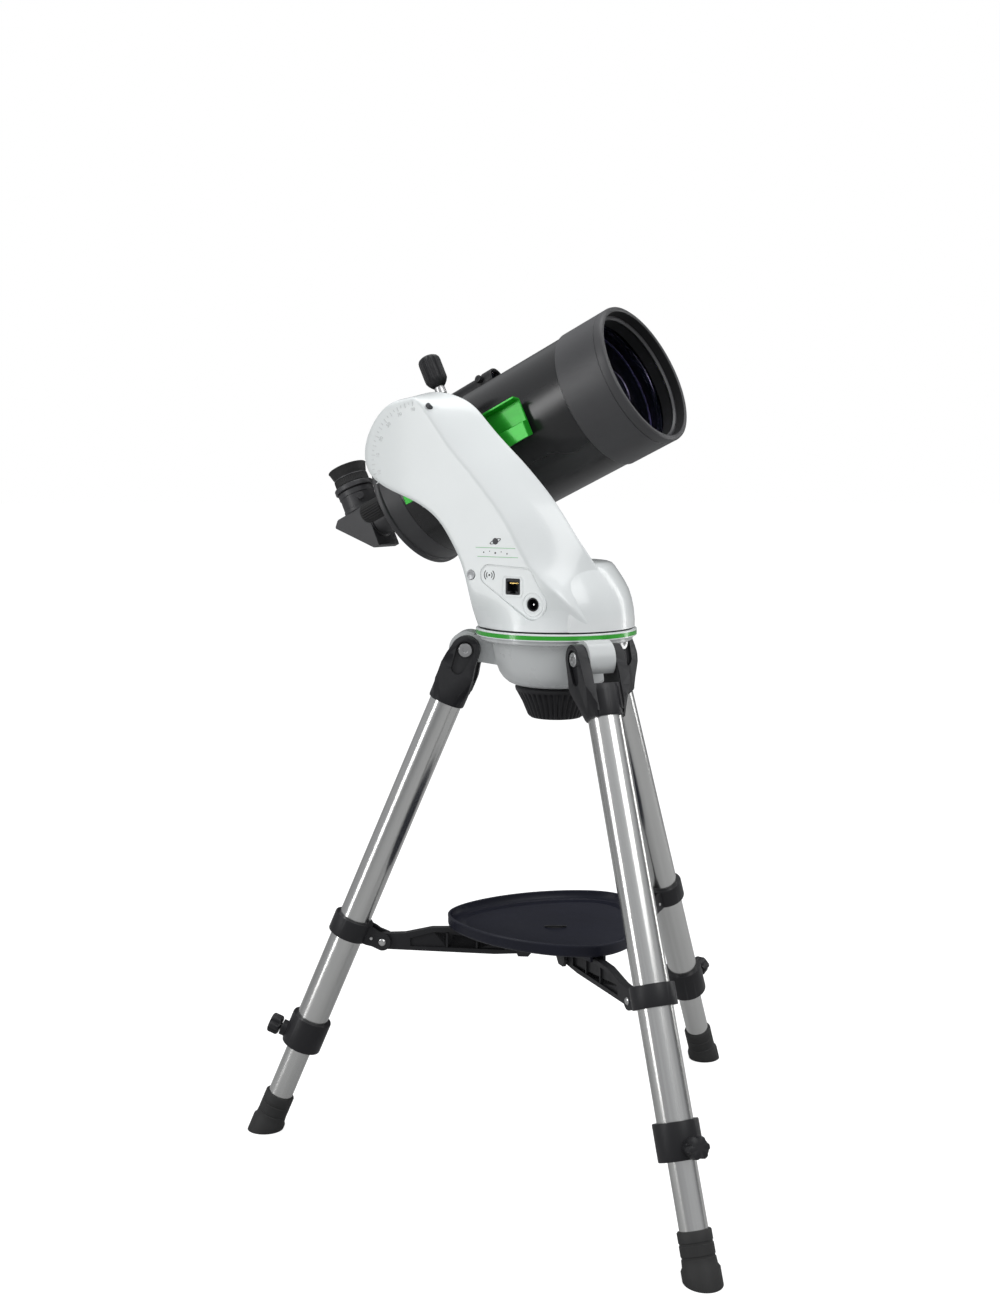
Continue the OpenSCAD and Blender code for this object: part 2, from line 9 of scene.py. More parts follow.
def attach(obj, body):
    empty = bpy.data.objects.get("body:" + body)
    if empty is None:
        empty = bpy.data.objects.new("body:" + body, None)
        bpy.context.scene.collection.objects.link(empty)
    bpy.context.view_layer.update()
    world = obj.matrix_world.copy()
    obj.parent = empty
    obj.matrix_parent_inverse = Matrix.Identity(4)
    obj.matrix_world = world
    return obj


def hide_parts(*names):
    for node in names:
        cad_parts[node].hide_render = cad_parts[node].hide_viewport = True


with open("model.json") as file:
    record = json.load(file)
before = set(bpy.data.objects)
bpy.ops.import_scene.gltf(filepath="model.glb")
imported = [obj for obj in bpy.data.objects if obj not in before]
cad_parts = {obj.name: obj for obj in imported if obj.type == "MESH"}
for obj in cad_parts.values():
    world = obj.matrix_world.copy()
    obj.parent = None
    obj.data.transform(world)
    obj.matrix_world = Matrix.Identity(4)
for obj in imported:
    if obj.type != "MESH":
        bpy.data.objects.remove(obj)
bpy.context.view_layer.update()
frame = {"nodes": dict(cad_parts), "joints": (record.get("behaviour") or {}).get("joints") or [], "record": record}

scene = bpy.context.scene
MM = 0.001

# ---- places, in the frame's own axes ----
joints = {joint["name"]: joint for joint in frame["joints"]}
LEGS = (1, 2, 3)
ARM_HEADING = -25.0
ALTITUDE = 25.0
SPLAY = 23.0
TUBE_SIDE = 65.6
HINGE_R = 86.0
HINGE_DROP = 18.5


def turn(degrees, axis):
    return Matrix.Rotation(math.radians(degrees), 4, axis)


def shift(x, y, z):
    """A move given in millimetres."""
    return Matrix.Translation(Vector((x, y, z)) * MM)


def hinge_place(name):
    return Matrix.Translation(Vector(joints[name]["pos_m"]))


HEAD = hinge_place("azimuth_turn")
ARM = HEAD @ turn(ARM_HEADING, "Z")
SADDLE = hinge_place("altitude_tilt") @ turn(ARM_HEADING, "Z") @ turn(-ALTITUDE, "Y")
TUBE = SADDLE @ shift(0, TUBE_SIDE, 0)
# These turn a form made along +Z to lie along +X or +Y, or stand its outline up in the XZ plane
ALONG_X = turn(90, "Y")
ALONG_Y = turn(-90, "X")
UPRIGHT = turn(90, "X")


def leg_side(k):
    """Head frame turned so that +X points along leg k."""
    return HEAD @ turn(180 + 120 * k, "Z")


def leg(k):
    """Frame of leg k, which runs down along -Z from its hinge; local +X is its outer side."""
    return leg_side(k) @ shift(HINGE_R, 0, -HINGE_DROP) @ turn(-SPLAY, "Y")


# ---- forms: closed meshes in millimetres ----
def ring_of(radius, z, steps):
    return [(radius * math.cos(math.tau * i / steps), radius * math.sin(math.tau * i / steps), z)
            for i in range(steps)]


def turned(profile, steps=96):
    """Solid of revolution about +Z; the profile is a closed outline of (radius, height)."""
    form = bmesh.new()
    rings = [[form.verts.new((0, 0, z))] if r < 1e-6 else [form.verts.new(p) for p in ring_of(r, z, steps)]
             for r, z in profile]
    for i, low in enumerate(rings):
        high = rings[(i + 1) % len(rings)]
        if len(low) == 1 and len(high) == 1:
            continue
        for j in range(steps):
            k = (j + 1) % steps
            corners = [low[j % len(low)], low[k % len(low)], high[k % len(high)], high[j % len(high)]]
            form.faces.new(list(dict.fromkeys(corners)))
    bmesh.ops.recalc_face_normals(form, faces=form.faces)
    return form


def rod(low, high, radius, steps=48):
    return turned([(0, low), (radius, low), (radius, high), (0, high)], steps)


def pipe(low, high, outer, inner, steps=96):
    return turned([(outer, low), (outer, high), (inner, high), (inner, low)], steps)


def prism(outline, low, high):
    """An outline in the XY plane, drawn up from low to high."""
    form = bmesh.new()
    bottom = [form.verts.new((x, y, low)) for x, y in outline]
    top = [form.verts.new((x, y, high)) for x, y in outline]
    form.faces.new(bottom[::-1])
    form.faces.new(top)
    for i in range(len(outline)):
        j = (i + 1) % len(outline)
        form.faces.new([bottom[i], bottom[j], top[j], top[i]])
    bmesh.ops.recalc_face_normals(form, faces=form.faces)
    return form


def slab(outline, low, high):
    """An outline in the XZ plane, from y = low to y = high."""
    form = prism(outline, -high, -low)
    bmesh.ops.transform(form, matrix=UPRIGHT, verts=form.verts)
    return form


def block(low, high):
    return prism([(low[0], low[1]), (high[0], low[1]), (high[0], high[1]), (low[0], high[1])],
                 low[2], high[2])


def loft(rings):
    """A skin through rings with the same number of points, closed at both ends."""
    form = bmesh.new()
    rows = [[form.verts.new(p) for p in ring] for ring in rings]
    for low, high in zip(rows, rows[1:]):
        for j in range(len(low)):
            k = (j + 1) % len(low)
            form.faces.new([low[j], low[k], high[k], high[j]])
    form.faces.new(rows[0][::-1])
    form.faces.new(rows[-1])
    bmesh.ops.recalc_face_normals(form, faces=form.faces)
    return form


def swept(path, radius, sides=10):
    """A round bar along a list of points."""
    points = [Vector(p) for p in path]
    rings = []
    for i, point in enumerate(points):
        ahead = (points[min(i + 1, len(points) - 1)] - points[max(i - 1, 0)]).normalized()
        side = ahead.cross(Vector((0.13, 0.27, 0.95))).normalized()
        up = side.cross(ahead)
        rings.append([point + radius * (side * math.cos(math.tau * j / sides)
                                        + up * math.sin(math.tau * j / sides)) for j in range(sides)])
    return loft(rings)


def moved(form, matrix):
    """The form turned and moved; the matrix's moves are in millimetres here."""
    bmesh.ops.transform(form, matrix=matrix, verts=form.verts)
    return form


def at(x, y, z):
    return Matrix.Translation((x, y, z))


def merged(*forms):
    """Several separate solids in one form."""
    whole = forms[0]
    for other in forms[1:]:
        mesh = bpy.data.meshes.new("scratch")
        other.to_mesh(mesh)
        whole.from_mesh(mesh)
        bpy.data.meshes.remove(mesh)
        other.free()
    return whole


def combined(form, other, operation):
    """The union, difference or intersection of two forms."""
    pair = []
    for part in (form, other):
        mesh = bpy.data.meshes.new("scratch")
        part.to_mesh(mesh)
        part.free()
        scratch = bpy.data.objects.new("scratch", mesh)
        scene.collection.objects.link(scratch)
        pair.append(scratch)
    cutter = pair[0].modifiers.new("cut", "BOOLEAN")
    cutter.operation = operation
    cutter.object = pair[1]
    cutter.solver = "EXACT"
    result = bmesh.new()
    mesh = bpy.data.meshes.new_from_object(pair[0].evaluated_get(bpy.context.evaluated_depsgraph_get()))
    result.from_mesh(mesh)
    bpy.data.meshes.remove(mesh)
    for scratch in pair:
        old = scratch.data
        bpy.data.objects.remove(scratch)
        bpy.data.meshes.remove(old)
    return result


def cut(form, *others):
    for other in others:
        form = combined(form, other, "DIFFERENCE")
    return form


def joined(form, *others):
    for other in others:
        form = combined(form, other, "UNION")
    return form


def smoothed(form, levels):
    """The form after Catmull-Clark subdivision."""
    mesh = bpy.data.meshes.new("scratch")
    form.to_mesh(mesh)
    form.free()
    scratch = bpy.data.objects.new("scratch", mesh)
    scene.collection.objects.link(scratch)
    rounder = scratch.modifiers.new("rounder", "SUBSURF")
    rounder.levels = rounder.render_levels = levels
    rounder.boundary_smooth = "PRESERVE_CORNERS"
    fine = bpy.data.meshes.new_from_object(scratch.evaluated_get(bpy.context.evaluated_depsgraph_get()))
    result = bmesh.new()
    result.from_mesh(fine)
    bpy.data.objects.remove(scratch)
    bpy.data.meshes.remove(mesh)
    bpy.data.meshes.remove(fine)
    return result


def piece(name, form, place, body, slot, replaces=(), look=None, edge=0, sharp=35, sides=2):
    """A finished piece of the model, put at place and riding on a body, in its slot's look or another."""
    look = look or LOOKS[slot]
    mesh = bpy.data.meshes.new(name)
    bmesh.ops.scale(form, vec=(MM, MM, MM), verts=form.verts)
    bmesh.ops.remove_doubles(form, verts=form.verts, dist=1e-7)
    form.to_mesh(mesh)
    form.free()
    for finish in look if isinstance(look, (list, tuple)) else [look]:
        mesh.materials.append(finish)
    mesh.polygons.foreach_set("use_smooth", [True] * len(mesh.polygons))
    obj = bpy.data.objects.new(name, mesh)
    scene.collection.objects.link(obj)
    obj.matrix_world = place
    if edge:
        rounder = obj.modifiers.new("rounded edges", "BEVEL")
        rounder.width = edge * MM
        rounder.segments = sides
        rounder.limit_method = "ANGLE"
        rounder.angle_limit = math.radians(sharp)
        rounder.harden_normals = True
        rounder.use_clamp_overlap = True
    else:
        mesh.set_sharp_from_angle(angle=math.radians(sharp))
    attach(obj, body)
    if replaces:
        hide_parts(*replaces)
    return obj


# ---- materials ----
def material(name, color, rough, metal=0.0, coat=0.0, tone=0.06, tone_scale=18.0, rough_spread=0.08,
             rough_scale=45.0, grain=0.0, grain_scale=900.0, grain_detail=2.0, stretch=(1, 1, 1), wear=0.0,
             specular=0.5):
    """A surface with a drift of tone, a varying roughness and a fine relief, all from noise."""
    made = bpy.data.materials.new(name)
    made.use_nodes = True
    tree = made.node_tree
    links = tree.links
    shader = tree.nodes["Principled BSDF"]
    shader.inputs["Metallic"].default_value = metal
    shader.inputs["Specular IOR Level"].default_value = specular
    shader.inputs["Coat Weight"].default_value = coat
    shader.inputs["Coat Roughness"].default_value = 0.06
    place = tree.nodes.new("ShaderNodeTexCoord")
    mapping = tree.nodes.new("ShaderNodeMapping")
    mapping.inputs["Scale"].default_value = stretch
    links.new(place.outputs["Object"], mapping.inputs["Vector"])

    def noise(scale, detail):
        node = tree.nodes.new("ShaderNodeTexNoise")
        node.inputs["Scale"].default_value = scale
        node.inputs["Detail"].default_value = detail
        links.new(mapping.outputs["Vector"], node.inputs["Vector"])
        return node.outputs["Fac"]

    ramp = tree.nodes.new("ShaderNodeValToRGB")
    ramp.color_ramp.elements[0].position = 0.3
    ramp.color_ramp.elements[1].position = 0.7
    ramp.color_ramp.elements[0].color = [c * (1 - tone) for c in color] + [1]
    ramp.color_ramp.elements[1].color = [min(1, c * (1 + tone)) for c in color] + [1]
    links.new(noise(tone_scale, 4.0), ramp.inputs["Fac"])
    paint = ramp.outputs["Color"]
    if wear:
        edges = tree.nodes.new("ShaderNodeNewGeometry")
        reach = tree.nodes.new("ShaderNodeMapRange")
        reach.inputs["From Min"].default_value = 0.52
        reach.inputs["From Max"].default_value = 0.62
        reach.inputs["To Max"].default_value = wear
        rubbed = tree.nodes.new("ShaderNodeMix")
        rubbed.data_type = "RGBA"
        rubbed.inputs["B"].default_value = [min(1, c * 1.6 + 0.06) for c in color] + [1]
        links.new(edges.outputs["Pointiness"], reach.inputs["Value"])
        links.new(reach.outputs["Result"], rubbed.inputs["Factor"])
        links.new(paint, rubbed.inputs["A"])
        paint = rubbed.outputs["Result"]
    links.new(paint, shader.inputs["Base Color"])
    spread = tree.nodes.new("ShaderNodeMapRange")
    spread.inputs["To Min"].default_value = max(0.02, rough - rough_spread)
    spread.inputs["To Max"].default_value = min(1.0, rough + rough_spread)
    links.new(noise(rough_scale, 5.0), spread.inputs["Value"])
    links.new(spread.outputs["Result"], shader.inputs["Roughness"])
    if grain:
        relief = tree.nodes.new("ShaderNodeBump")
        relief.inputs["Strength"].default_value = grain
        relief.inputs["Distance"].default_value = 0.0004
        links.new(noise(grain_scale, grain_detail), relief.inputs["Height"])
        links.new(relief.outputs["Normal"], shader.inputs["Normal"])
    return made


def glass(name, tint, rough, film):
    """Coated glass: a thin film gives its coloured reflection."""
    made = material(name, tint, rough, tone=0.03, rough_spread=0.01)
    shader = made.node_tree.nodes["Principled BSDF"]
    shader.inputs["Transmission Weight"].default_value = 1.0
    shader.inputs["IOR"].default_value = 1.52
    shader.inputs["Thin Film Thickness"].default_value = film
    shader.inputs["Thin Film IOR"].default_value = 1.38
    return made


BRUSHED = (260, 260, 2.2)
LOOKS = {
    "arm_white": material("gloss white moulding", (0.83, 0.86, 0.86), 0.24, coat=0.25, tone=0.012,
                          rough_spread=0.02, grain=0.015, grain_scale=500, wear=0.3),
    # A slightly darker, cooler copy of the white moulding for the arm's flat side: painted shade on that side
    "arm_side": material("white moulding with painted side shade", (0.81, 0.845, 0.84), 0.26, coat=0.25, tone=0.012,
                         rough_spread=0.02, grain=0.02, grain_scale=500),
    "hub_grey": material("pale grey moulding", (0.66, 0.68, 0.68), 0.28, coat=0.2, tone=0.02,
                         rough_spread=0.06, grain=0.03, grain_scale=600),
    "trim_green": material("green stripe", (0.035, 0.42, 0.03), 0.25, coat=0.4, tone=0.04, grain=0.02),
    "green_metal": material("green anodised bar", (0.008, 0.36, 0.012), 0.34, metal=0.35, coat=0.2,
                            tone=0.08, grain=0.05, stretch=(4, 60, 60), grain_scale=60, wear=0.5),
    "tube_black": material("gloss black enamel", (0.015, 0.015, 0.016), 0.22, coat=0.0, tone=0.10,
                           rough_spread=0.02, rough_scale=12, grain=0.012, grain_scale=350),
    "cell_black": material("satin black paint", (0.046, 0.046, 0.049), 0.40, tone=0.12, rough_spread=0.07,
                           grain=0.10, grain_scale=1500, wear=0.25),
    "baffle_black": material("matt black", (0.006, 0.006, 0.007), 0.85, tone=0.2, grain=0.2),
    "black_plastic": material("black moulded plastic", (0.013, 0.013, 0.015), 0.42, tone=0.12,
                              rough_spread=0.10, grain=0.14, grain_scale=1300, wear=0.3, specular=0.32),
    "tray_plastic": material("blue-black tray", (0.009, 0.010, 0.020), 0.44, tone=0.12, rough_spread=0.10,
                             grain=0.12, grain_scale=1200, wear=0.3, specular=0.25),
    "knob_rubber": material("black rubber", (0.018, 0.018, 0.018), 0.66, tone=0.15, rough_spread=0.12,
                            grain=0.22, grain_scale=1700),
    "leg_steel": material("brushed stainless tube", (0.66, 0.66, 0.65), 0.22, metal=1.0, tone=0.05,
                          tone_scale=1.0, rough_spread=0.07, rough_scale=1.0, grain=0.05, grain_scale=1.0,
                          stretch=BRUSHED),
    "chrome_steel": material("bright plated steel", (0.60, 0.60, 0.60), 0.30, metal=1.0, tone=0.05,
                             grain=0.03),
    "saddle_metal": material("cast aluminium", (0.42, 0.43, 0.44), 0.42, metal=0.9, tone=0.08, grain=0.25,
                             grain_scale=700),
    "motor_metal": material("motor can", (0.35, 0.35, 0.36), 0.35, metal=1.0, tone=0.1, grain=0.1),
    "brass_gear": material("machined brass", (0.62, 0.42, 0.16), 0.28, metal=1.0, tone=0.08, grain=0.1),
    "board_green": material("circuit board", (0.01, 0.14, 0.05), 0.4, coat=0.3, tone=0.2, grain=0.1,
                            tone_scale=200),
    "panel_grey": material("pale panel", (0.70, 0.74, 0.73), 0.34, tone=0.02, grain=0.06, grain_scale=900),
    "mirror_face": material("aluminised mirror", (0.80, 0.81, 0.82), 0.06, metal=1.0, tone=0.01,
                            rough_spread=0.02),
    "lens_coated": glass("coated corrector", (0.55, 0.50, 0.80), 0.02, 420.0),
    "prism_glass": glass("polished glass", (0.9, 0.94, 0.96), 0.02, 110.0),
}
# Near-black for gaps, notches and slots: painted shade where there is only a gap or a hollow
GAP_BLACK = material("shadow black", (0.008, 0.008, 0.009), 0.7, tone=0.2, grain=0.1)
PRINT_GREY = material("dark grey print", (0.05, 0.05, 0.055), 0.5, tone=0.1, grain=0.02)
PRINT_GREEN = material("pale green print", (0.30, 0.62, 0.33), 0.45, tone=0.05, grain=0.02)
GOLD = material("gold contact", (0.75, 0.52, 0.18), 0.25, metal=1.0, tone=0.05, grain=0.05)

for node_name, node in frame["nodes"].items():
    slot_name = next(s["material_slot"] for s in frame["record"]["subparts"] if s["node"] == node_name)
    node.data.materials.clear()
    node.data.materials.append(LOOKS[slot_name])


# ---- outlines ----
def arc(cx, cz, radius, start, end, steps=12):
    """Points on an arc, angles in degrees."""
    return [(cx + radius * math.cos(math.radians(start + (end - start) * i / steps)),
             cz + radius * math.sin(math.radians(start + (end - start) * i / steps)))
            for i in range(steps + 1)]


def hull(circles, steps=48):
    """The convex outline round some circles (x, z, radius)."""
    points = sorted({p for x, z, r in circles for p in arc(x, z, r, 0, 360, steps)})

    def half(run):
        chain = []
        for p in run:
            while len(chain) > 1 and ((chain[-1][0] - chain[-2][0]) * (p[1] - chain[-2][1])
                                      <= (chain[-1][1] - chain[-2][1]) * (p[0] - chain[-2][0])):
                chain.pop()
            chain.append(p)
        return chain[:-1]

    return half(points) + half(points[::-1])


def rounded_box(half_x, half_z, radius, cx=0.0, cz=0.0):
    return hull([(cx + sx * (half_x - radius), cz + sz * (half_z - radius), radius)
                 for sx in (-1, 1) for sz in (-1, 1)], 24)


def fluted(levels, count, depth, steps=8):
    """A round knob with flutes: levels are (radius, height, share of the flute's depth)."""
    points = count * steps
    return loft([[((r - share * depth * (0.5 + 0.5 * math.cos(count * a)) ** 2) * math.cos(a),
                   (r - share * depth * (0.5 + 0.5 * math.cos(count * a)) ** 2) * math.sin(a), z)
                  for a in (math.tau * i / points for i in range(points))] for r, z, share in levels])


# ---- the moulded arm ----
SIDE_Y = -66.0
FAR_Y = -30.0
BASE_R = 76.0
FOOT_LEFT, FOOT_CREASE = -142.2, -29.7
# Each row: left edge (x, z), crease (x, z), right edge (x, z), y of the far side
ARM_ROWS = [
    ((-60, 5), (66, 5), (58, 5), 10),
    ((-57, 25), (50, 34), (62, 40), 0),
    ((-63, 53), (19, 56), (54, 71), -20),
    ((-70, 72), (4, 74), (44, 88), -28),
    ((-81, 90), (-12, 103), (29, 112), FAR_Y),
    ((-93, 107), (-28, 122), (14, 131), FAR_Y),
    ((-110, 119), (-44, 140), (-2, 148), FAR_Y),
    ((-128, 127), (-60, 157), (-19, 165), FAR_Y),
    ((-146, 133), (-77, 173), (-35, 179), FAR_Y),
    ((-165, 141), (-88, 187), (-54, 197), FAR_Y),
    ((-178, 152), (-96, 197), (-68, 213), FAR_Y),
    ((-183, 168), (-102, 205), (-82, 223), FAR_Y),
    ((-179, 188), (-108, 212), (-102, 229.5), FAR_Y),
    ((-165, 209), (-115, 219), (-118, 231.3), FAR_Y),
    ((-146, 223), (-124, 226), (-130, 230.5), FAR_Y)]


def mix(a, b, t):
    return a + (b - a) * t


def foot_point(angle):
    return BASE_R * math.cos(math.radians(angle)), BASE_R * math.sin(math.radians(angle))


def arm_ring(row, foot):
    """One section of the arm: side, front, far face and inner edge, with points by each corner."""
    left, crease, right = (Vector(p) for p in row[:3])
    far = row[3]
    along = (right - left).normalized()
    slope = Vector((right.x - crease.x + 0.01, far - SIDE_Y)).normalized()
    foot_far = -180 - math.degrees(math.asin(far / BASE_R))
    ring = []
    for t in (0, 0.06, 0.3, 0.5, 0.7, 0.95):
        p = left.lerp(crease, t)
        if foot:
            ring.append((*foot_point(mix(FOOT_LEFT, FOOT_CREASE, t)), p.y))
        else:
            ring.append((p.x, SIDE_Y, p.y))
    for t in (0, 0.1, 0.3, 0.5, 0.7, 0.9):
        p = crease.lerp(right, t)
        bulge = 0 if foot else 16 * t * (1 - t)
        near = foot_point(FOOT_CREASE)[1] if foot else SIDE_Y
        ring.append((p.x + bulge * slope.y, mix(near, far, t) - bulge * slope.x * 0.6, p.y))
    end = Vector((foot_point(foot_far)[0], left.y)) if foot else left
    for t in (0, 0.08, 0.35, 0.65, 0.92):
        p = right.lerp(end, t)
        ring.append((p.x, far, p.y))
    for t in (0, 0.14, 0.35, 0.65, 0.86):
        if foot:
            ring.append((*foot_point(mix(foot_far, FOOT_LEFT, t)), left.y))
        else:
            bulge = 8 * t * (1 - t)
            ring.append((left.x - along.x * bulge, mix(far, SIDE_Y, t), left.y - along.y * bulge))
    return ring


def arm_form():
    rows = [arm_ring(row, i == 0) for i, row in enumerate(ARM_ROWS)]
    form = loft(rows)
    sharp = form.edges.layers.float.new("crease_edge")
    for edge in form.edges:
        if all(v.co.z < 5.01 for v in edge.verts):
            edge[sharp] = 1.0
    return smoothed(form, 2)


ICON_AT = (-35, 56)
NETWORK_AT = (-9, 46)
POWER_AT = (13, 30)
BUTTON_AT = (-55.5, 55.5)
WINDOW_AT = (-105.4, 217.0)
PANEL_OUTLINE = [(*ICON_AT, 10), (6, 57, 7), (*POWER_AT, 14.5)]
# A cut through the side face starts out here
OUTSIDE = -90
PANEL_FACE = SIDE_Y + 0.4
PANEL_BACK = SIDE_Y + 2


def grown(circles, by):
    return [(x, z, r + by) for x, z, r in circles]


def bead(outline, y, radius):
    """A thin raised line that follows a closed outline in the XZ plane."""
    count = len(outline)
    rings = []
    for i, (x, z) in enumerate(outline):
        ahead = Vector(outline[(i + 1) % count]) - Vector(outline[i - 1])
        side = Vector((ahead.y, -ahead.x)).normalized()
        rings.append([(x + side.x * radius * math.cos(a), y + radius * math.sin(a),
                       z + side.y * radius * math.cos(a)) for a in (math.tau * j / 8 for j in range(8))])
    form = bmesh.new()
    rows = [[form.verts.new(p) for p in ring] for ring in rings]
    for i in range(count):
        for j in range(8):
            k = (j + 1) % 8
            form.faces.new([rows[i - 1][j], rows[i - 1][k], rows[i][k], rows[i][j]])
    bmesh.ops.recalc_face_normals(form, faces=form.faces)
    return form


def on_side(radius, xz, low, high):
    """A round bar across the side face."""
    return moved(rod(-high, -low, radius), at(xz[0], 0, xz[1]) @ UPRIGHT)


arm = cut(arm_form(),
          slab(hull(grown(PANEL_OUTLINE, 0.15)), OUTSIDE, PANEL_BACK),
          slab(rounded_box(9.2, 8.7, 1.5, *NETWORK_AT), OUTSIDE, -50),
          on_side(7.2, POWER_AT, OUTSIDE, -50),
          on_side(4.9, BUTTON_AT, OUTSIDE, -52),
          moved(rod(-8, 8, 2.6), at(WINDOW_AT[0], -66, WINDOW_AT[1]) @ turn(60, "X")))
# Faces turned to the flat side take the darker copy of the white: painted shade on the arm's side
for face in arm.faces:
    face.material_index = 1 if face.normal.y < -0.95 else 0
piece("arm_moulding", arm, ARM, "arm", "arm_white", look=[LOOKS["arm_white"], LOOKS["arm_side"]],
      replaces=["arm_shell", "arm_side_cover"], sharp=50)
piece("pointer_window", moved(rod(-7, -1.2, 2.5), at(WINDOW_AT[0], -66, WINDOW_AT[1]) @ turn(60, "X")),
      ARM, "arm", "black_plastic", look=PRINT_GREY, edge=0.2)

panel = cut(slab(hull(PANEL_OUTLINE), PANEL_FACE, PANEL_BACK),
            slab(rounded_box(8, 7.7, 1.4, *NETWORK_AT), OUTSIDE, -50),
            on_side(6.5, POWER_AT, OUTSIDE, -50))
# The plate on the side takes the same darker copy of the white: painted shade, as on the arm's side
piece("port_panel_plate", panel, ARM, "arm", "panel_grey", look=LOOKS["arm_side"], replaces=["port_panel"],
      edge=0.15)
piece("panel_beads", merged(bead(hull(grown(PANEL_OUTLINE, -0.9)), PANEL_FACE, 0.42),
                            bead(rounded_box(11, 9.4, 3.5, *NETWORK_AT), PANEL_FACE, 0.38),
                            bead(arc(*POWER_AT, 11, 0, 354, 59), PANEL_FACE, 0.42),
                            bead(arc(*POWER_AT, 7.4, 0, 354, 59), PANEL_FACE, 0.35)),
      ARM, "arm", "panel_grey", look=LOOKS["arm_white"])


def icon_strokes():
    """A plain wireless sign: a dot with two waves on each side."""
    y = PANEL_FACE
    strokes = [on_side(1.0, ICON_AT, y - 0.12, y + 0.3)]
    for side in (0, 180):
        for radius in (3.2, 5.6):
            outer = arc(*ICON_AT, radius + 0.45, side - 48, side + 48)
            inner = arc(*ICON_AT, radius - 0.45, side + 48, side - 48)
            strokes.append(slab(outer + inner, y - 0.12, y + 0.3))
    return merged(*strokes)


piece("wireless_sign", icon_strokes(), ARM, "arm", "panel_grey", look=PRINT_GREY)


def network_socket():
    x, z = NETWORK_AT
    housing = joined(slab(rounded_box(9, 8.5, 1.4, x, z), PANEL_BACK, -54),
                     slab(rounded_box(7.8, 7.5, 1.3, x, z), SIDE_Y + 0.8, -60))
    return cut(housing, slab(rounded_box(6, 4.5, 0.5, x, z), -70, -56),
               slab(rounded_box(3, 1.4, 0.3, x, z - 5.2), -70, -58))


piece("network_socket", network_socket(), ARM, "arm", "black_plastic", ["sockets"], edge=0.2)
contacts = [block((NETWORK_AT[0] - 4.4 + 1.2 * i, -63.0, NETWORK_AT[1] + 2.6),
                  (NETWORK_AT[0] - 3.9 + 1.2 * i, -56.2, NETWORK_AT[1] + 3.4)) for i in range(8)]
piece("network_contacts", merged(*contacts), ARM, "arm", "black_plastic", look=GOLD)
piece("power_socket", moved(turned([(6.3, 0.8), (6.3, 2.1), (7, 2.1), (7, 12), (0, 12), (0, 10), (5.2, 10),
                                    (5.2, 0.8)]),
                            at(POWER_AT[0], SIDE_Y, POWER_AT[1]) @ ALONG_Y),
      ARM, "arm", "black_plastic", edge=0.25)
piece("power_pin", moved(turned([(0, 2.6), (0.8, 2.6), (1.15, 3.2), (1.15, 12), (0, 12)], 24),
                         at(POWER_AT[0], SIDE_Y, POWER_AT[1]) @ ALONG_Y),
      ARM, "arm", "black_plastic", look=LOOKS["chrome_steel"])
piece("power_button_cap", moved(turned([(0, -0.3), (2.6, -0.45), (3.6, -0.8), (4.3, -0.8), (4.6, -0.4),
                                        (4.6, 6), (5.2, 6), (5.2, 7.5), (0, 7.5)]),
                                at(BUTTON_AT[0], SIDE_Y, BUTTON_AT[1]) @ ALONG_Y),
      ARM, "power_switch", "black_plastic", look=LOOKS["saddle_metal"], replaces=["power_button"])

# Plain emblem: a ringed planet over two thin lines
emblem_at = (-28, 88)
planet = merged(slab(arc(*emblem_at, 3.1, 0, 354, 59), SIDE_Y - 0.14, SIDE_Y + 0.3),
                moved(cut(slab([(6.6 * c, 1.9 * s) for c, s in arc(0, 0, 1, 0, 354, 59)], -0.16, 0.3),
                          slab([(5.6 * c, 1.2 * s) for c, s in arc(0, 0, 1, 0, 354, 59)], -1, 1)),
                      at(emblem_at[0], SIDE_Y, emblem_at[1]) @ turn(-22, "Y")))
piece("planet_emblem", planet, ARM, "arm", "arm_side", look=PRINT_GREY)
rules = [block((-50 + 2 * i, SIDE_Y - 0.12, z), (-6 + 3 * i, SIDE_Y + 0.3, z + 0.55))
         for i, z in enumerate((81.5, 73.0))]
piece("emblem_rules", merged(*rules), ARM, "arm", "arm_side", look=PRINT_GREEN)
stars = [on_side(r, (-41 + 6.5 * i, 77.4 + dz), SIDE_Y - 0.12, SIDE_Y + 0.3)
         for i, (r, dz) in enumerate(((0.7, 0), (0.5, 1.1), (0.9, -0.4), (0.5, 0.8), (0.7, -0.8)))]
piece("emblem_stars", merged(*stars), ARM, "arm", "arm_side", look=PRINT_GREY)

# Raised altitude scale round the head
HEAD_AT = (-117, 165.3)
SCALE_R = 55.0


def numeral(text, size, lift):
    curve = bpy.data.curves.new("numeral", "FONT")
    curve.body = text
    curve.size = size
    curve.extrude = lift
    curve.align_x = "CENTER"
    curve.align_y = "CENTER"
    scratch = bpy.data.objects.new("numeral", curve)
    scene.collection.objects.link(scratch)
    mesh = bpy.data.meshes.new_from_object(scratch.evaluated_get(bpy.context.evaluated_depsgraph_get()))
    form = bmesh.new()
    form.from_mesh(mesh)
    bpy.data.objects.remove(scratch)
    bpy.data.curves.remove(curve)
    bpy.data.meshes.remove(mesh)
    return form


scale_marks = []
for i in range(23):
    angle = 96 + i * 5
    radial = at(HEAD_AT[0], SIDE_Y, HEAD_AT[1]) @ turn(-angle, "Y")
    length = 4.2 if i % 2 == 0 else 2.4
    scale_marks.append(moved(block((SCALE_R - length, -0.35, -0.35), (SCALE_R, 0.3, 0.35)), radial))
    if i % 4 == 0:
        spot = radial @ at(SCALE_R - 7.6, 0, 0) @ turn(90, "Y") @ UPRIGHT
        scale_marks.append(moved(numeral(str(90 - 5 * i if i <= 18 else 5 * i - 90), 5.0, 0.3), spot))
# The raised marks take the pale grey moulding, darker than the arm: painted shade of their relief
piece("altitude_scale", merged(*scale_marks), ARM, "arm", "arm_white", look=LOOKS["hub_grey"])

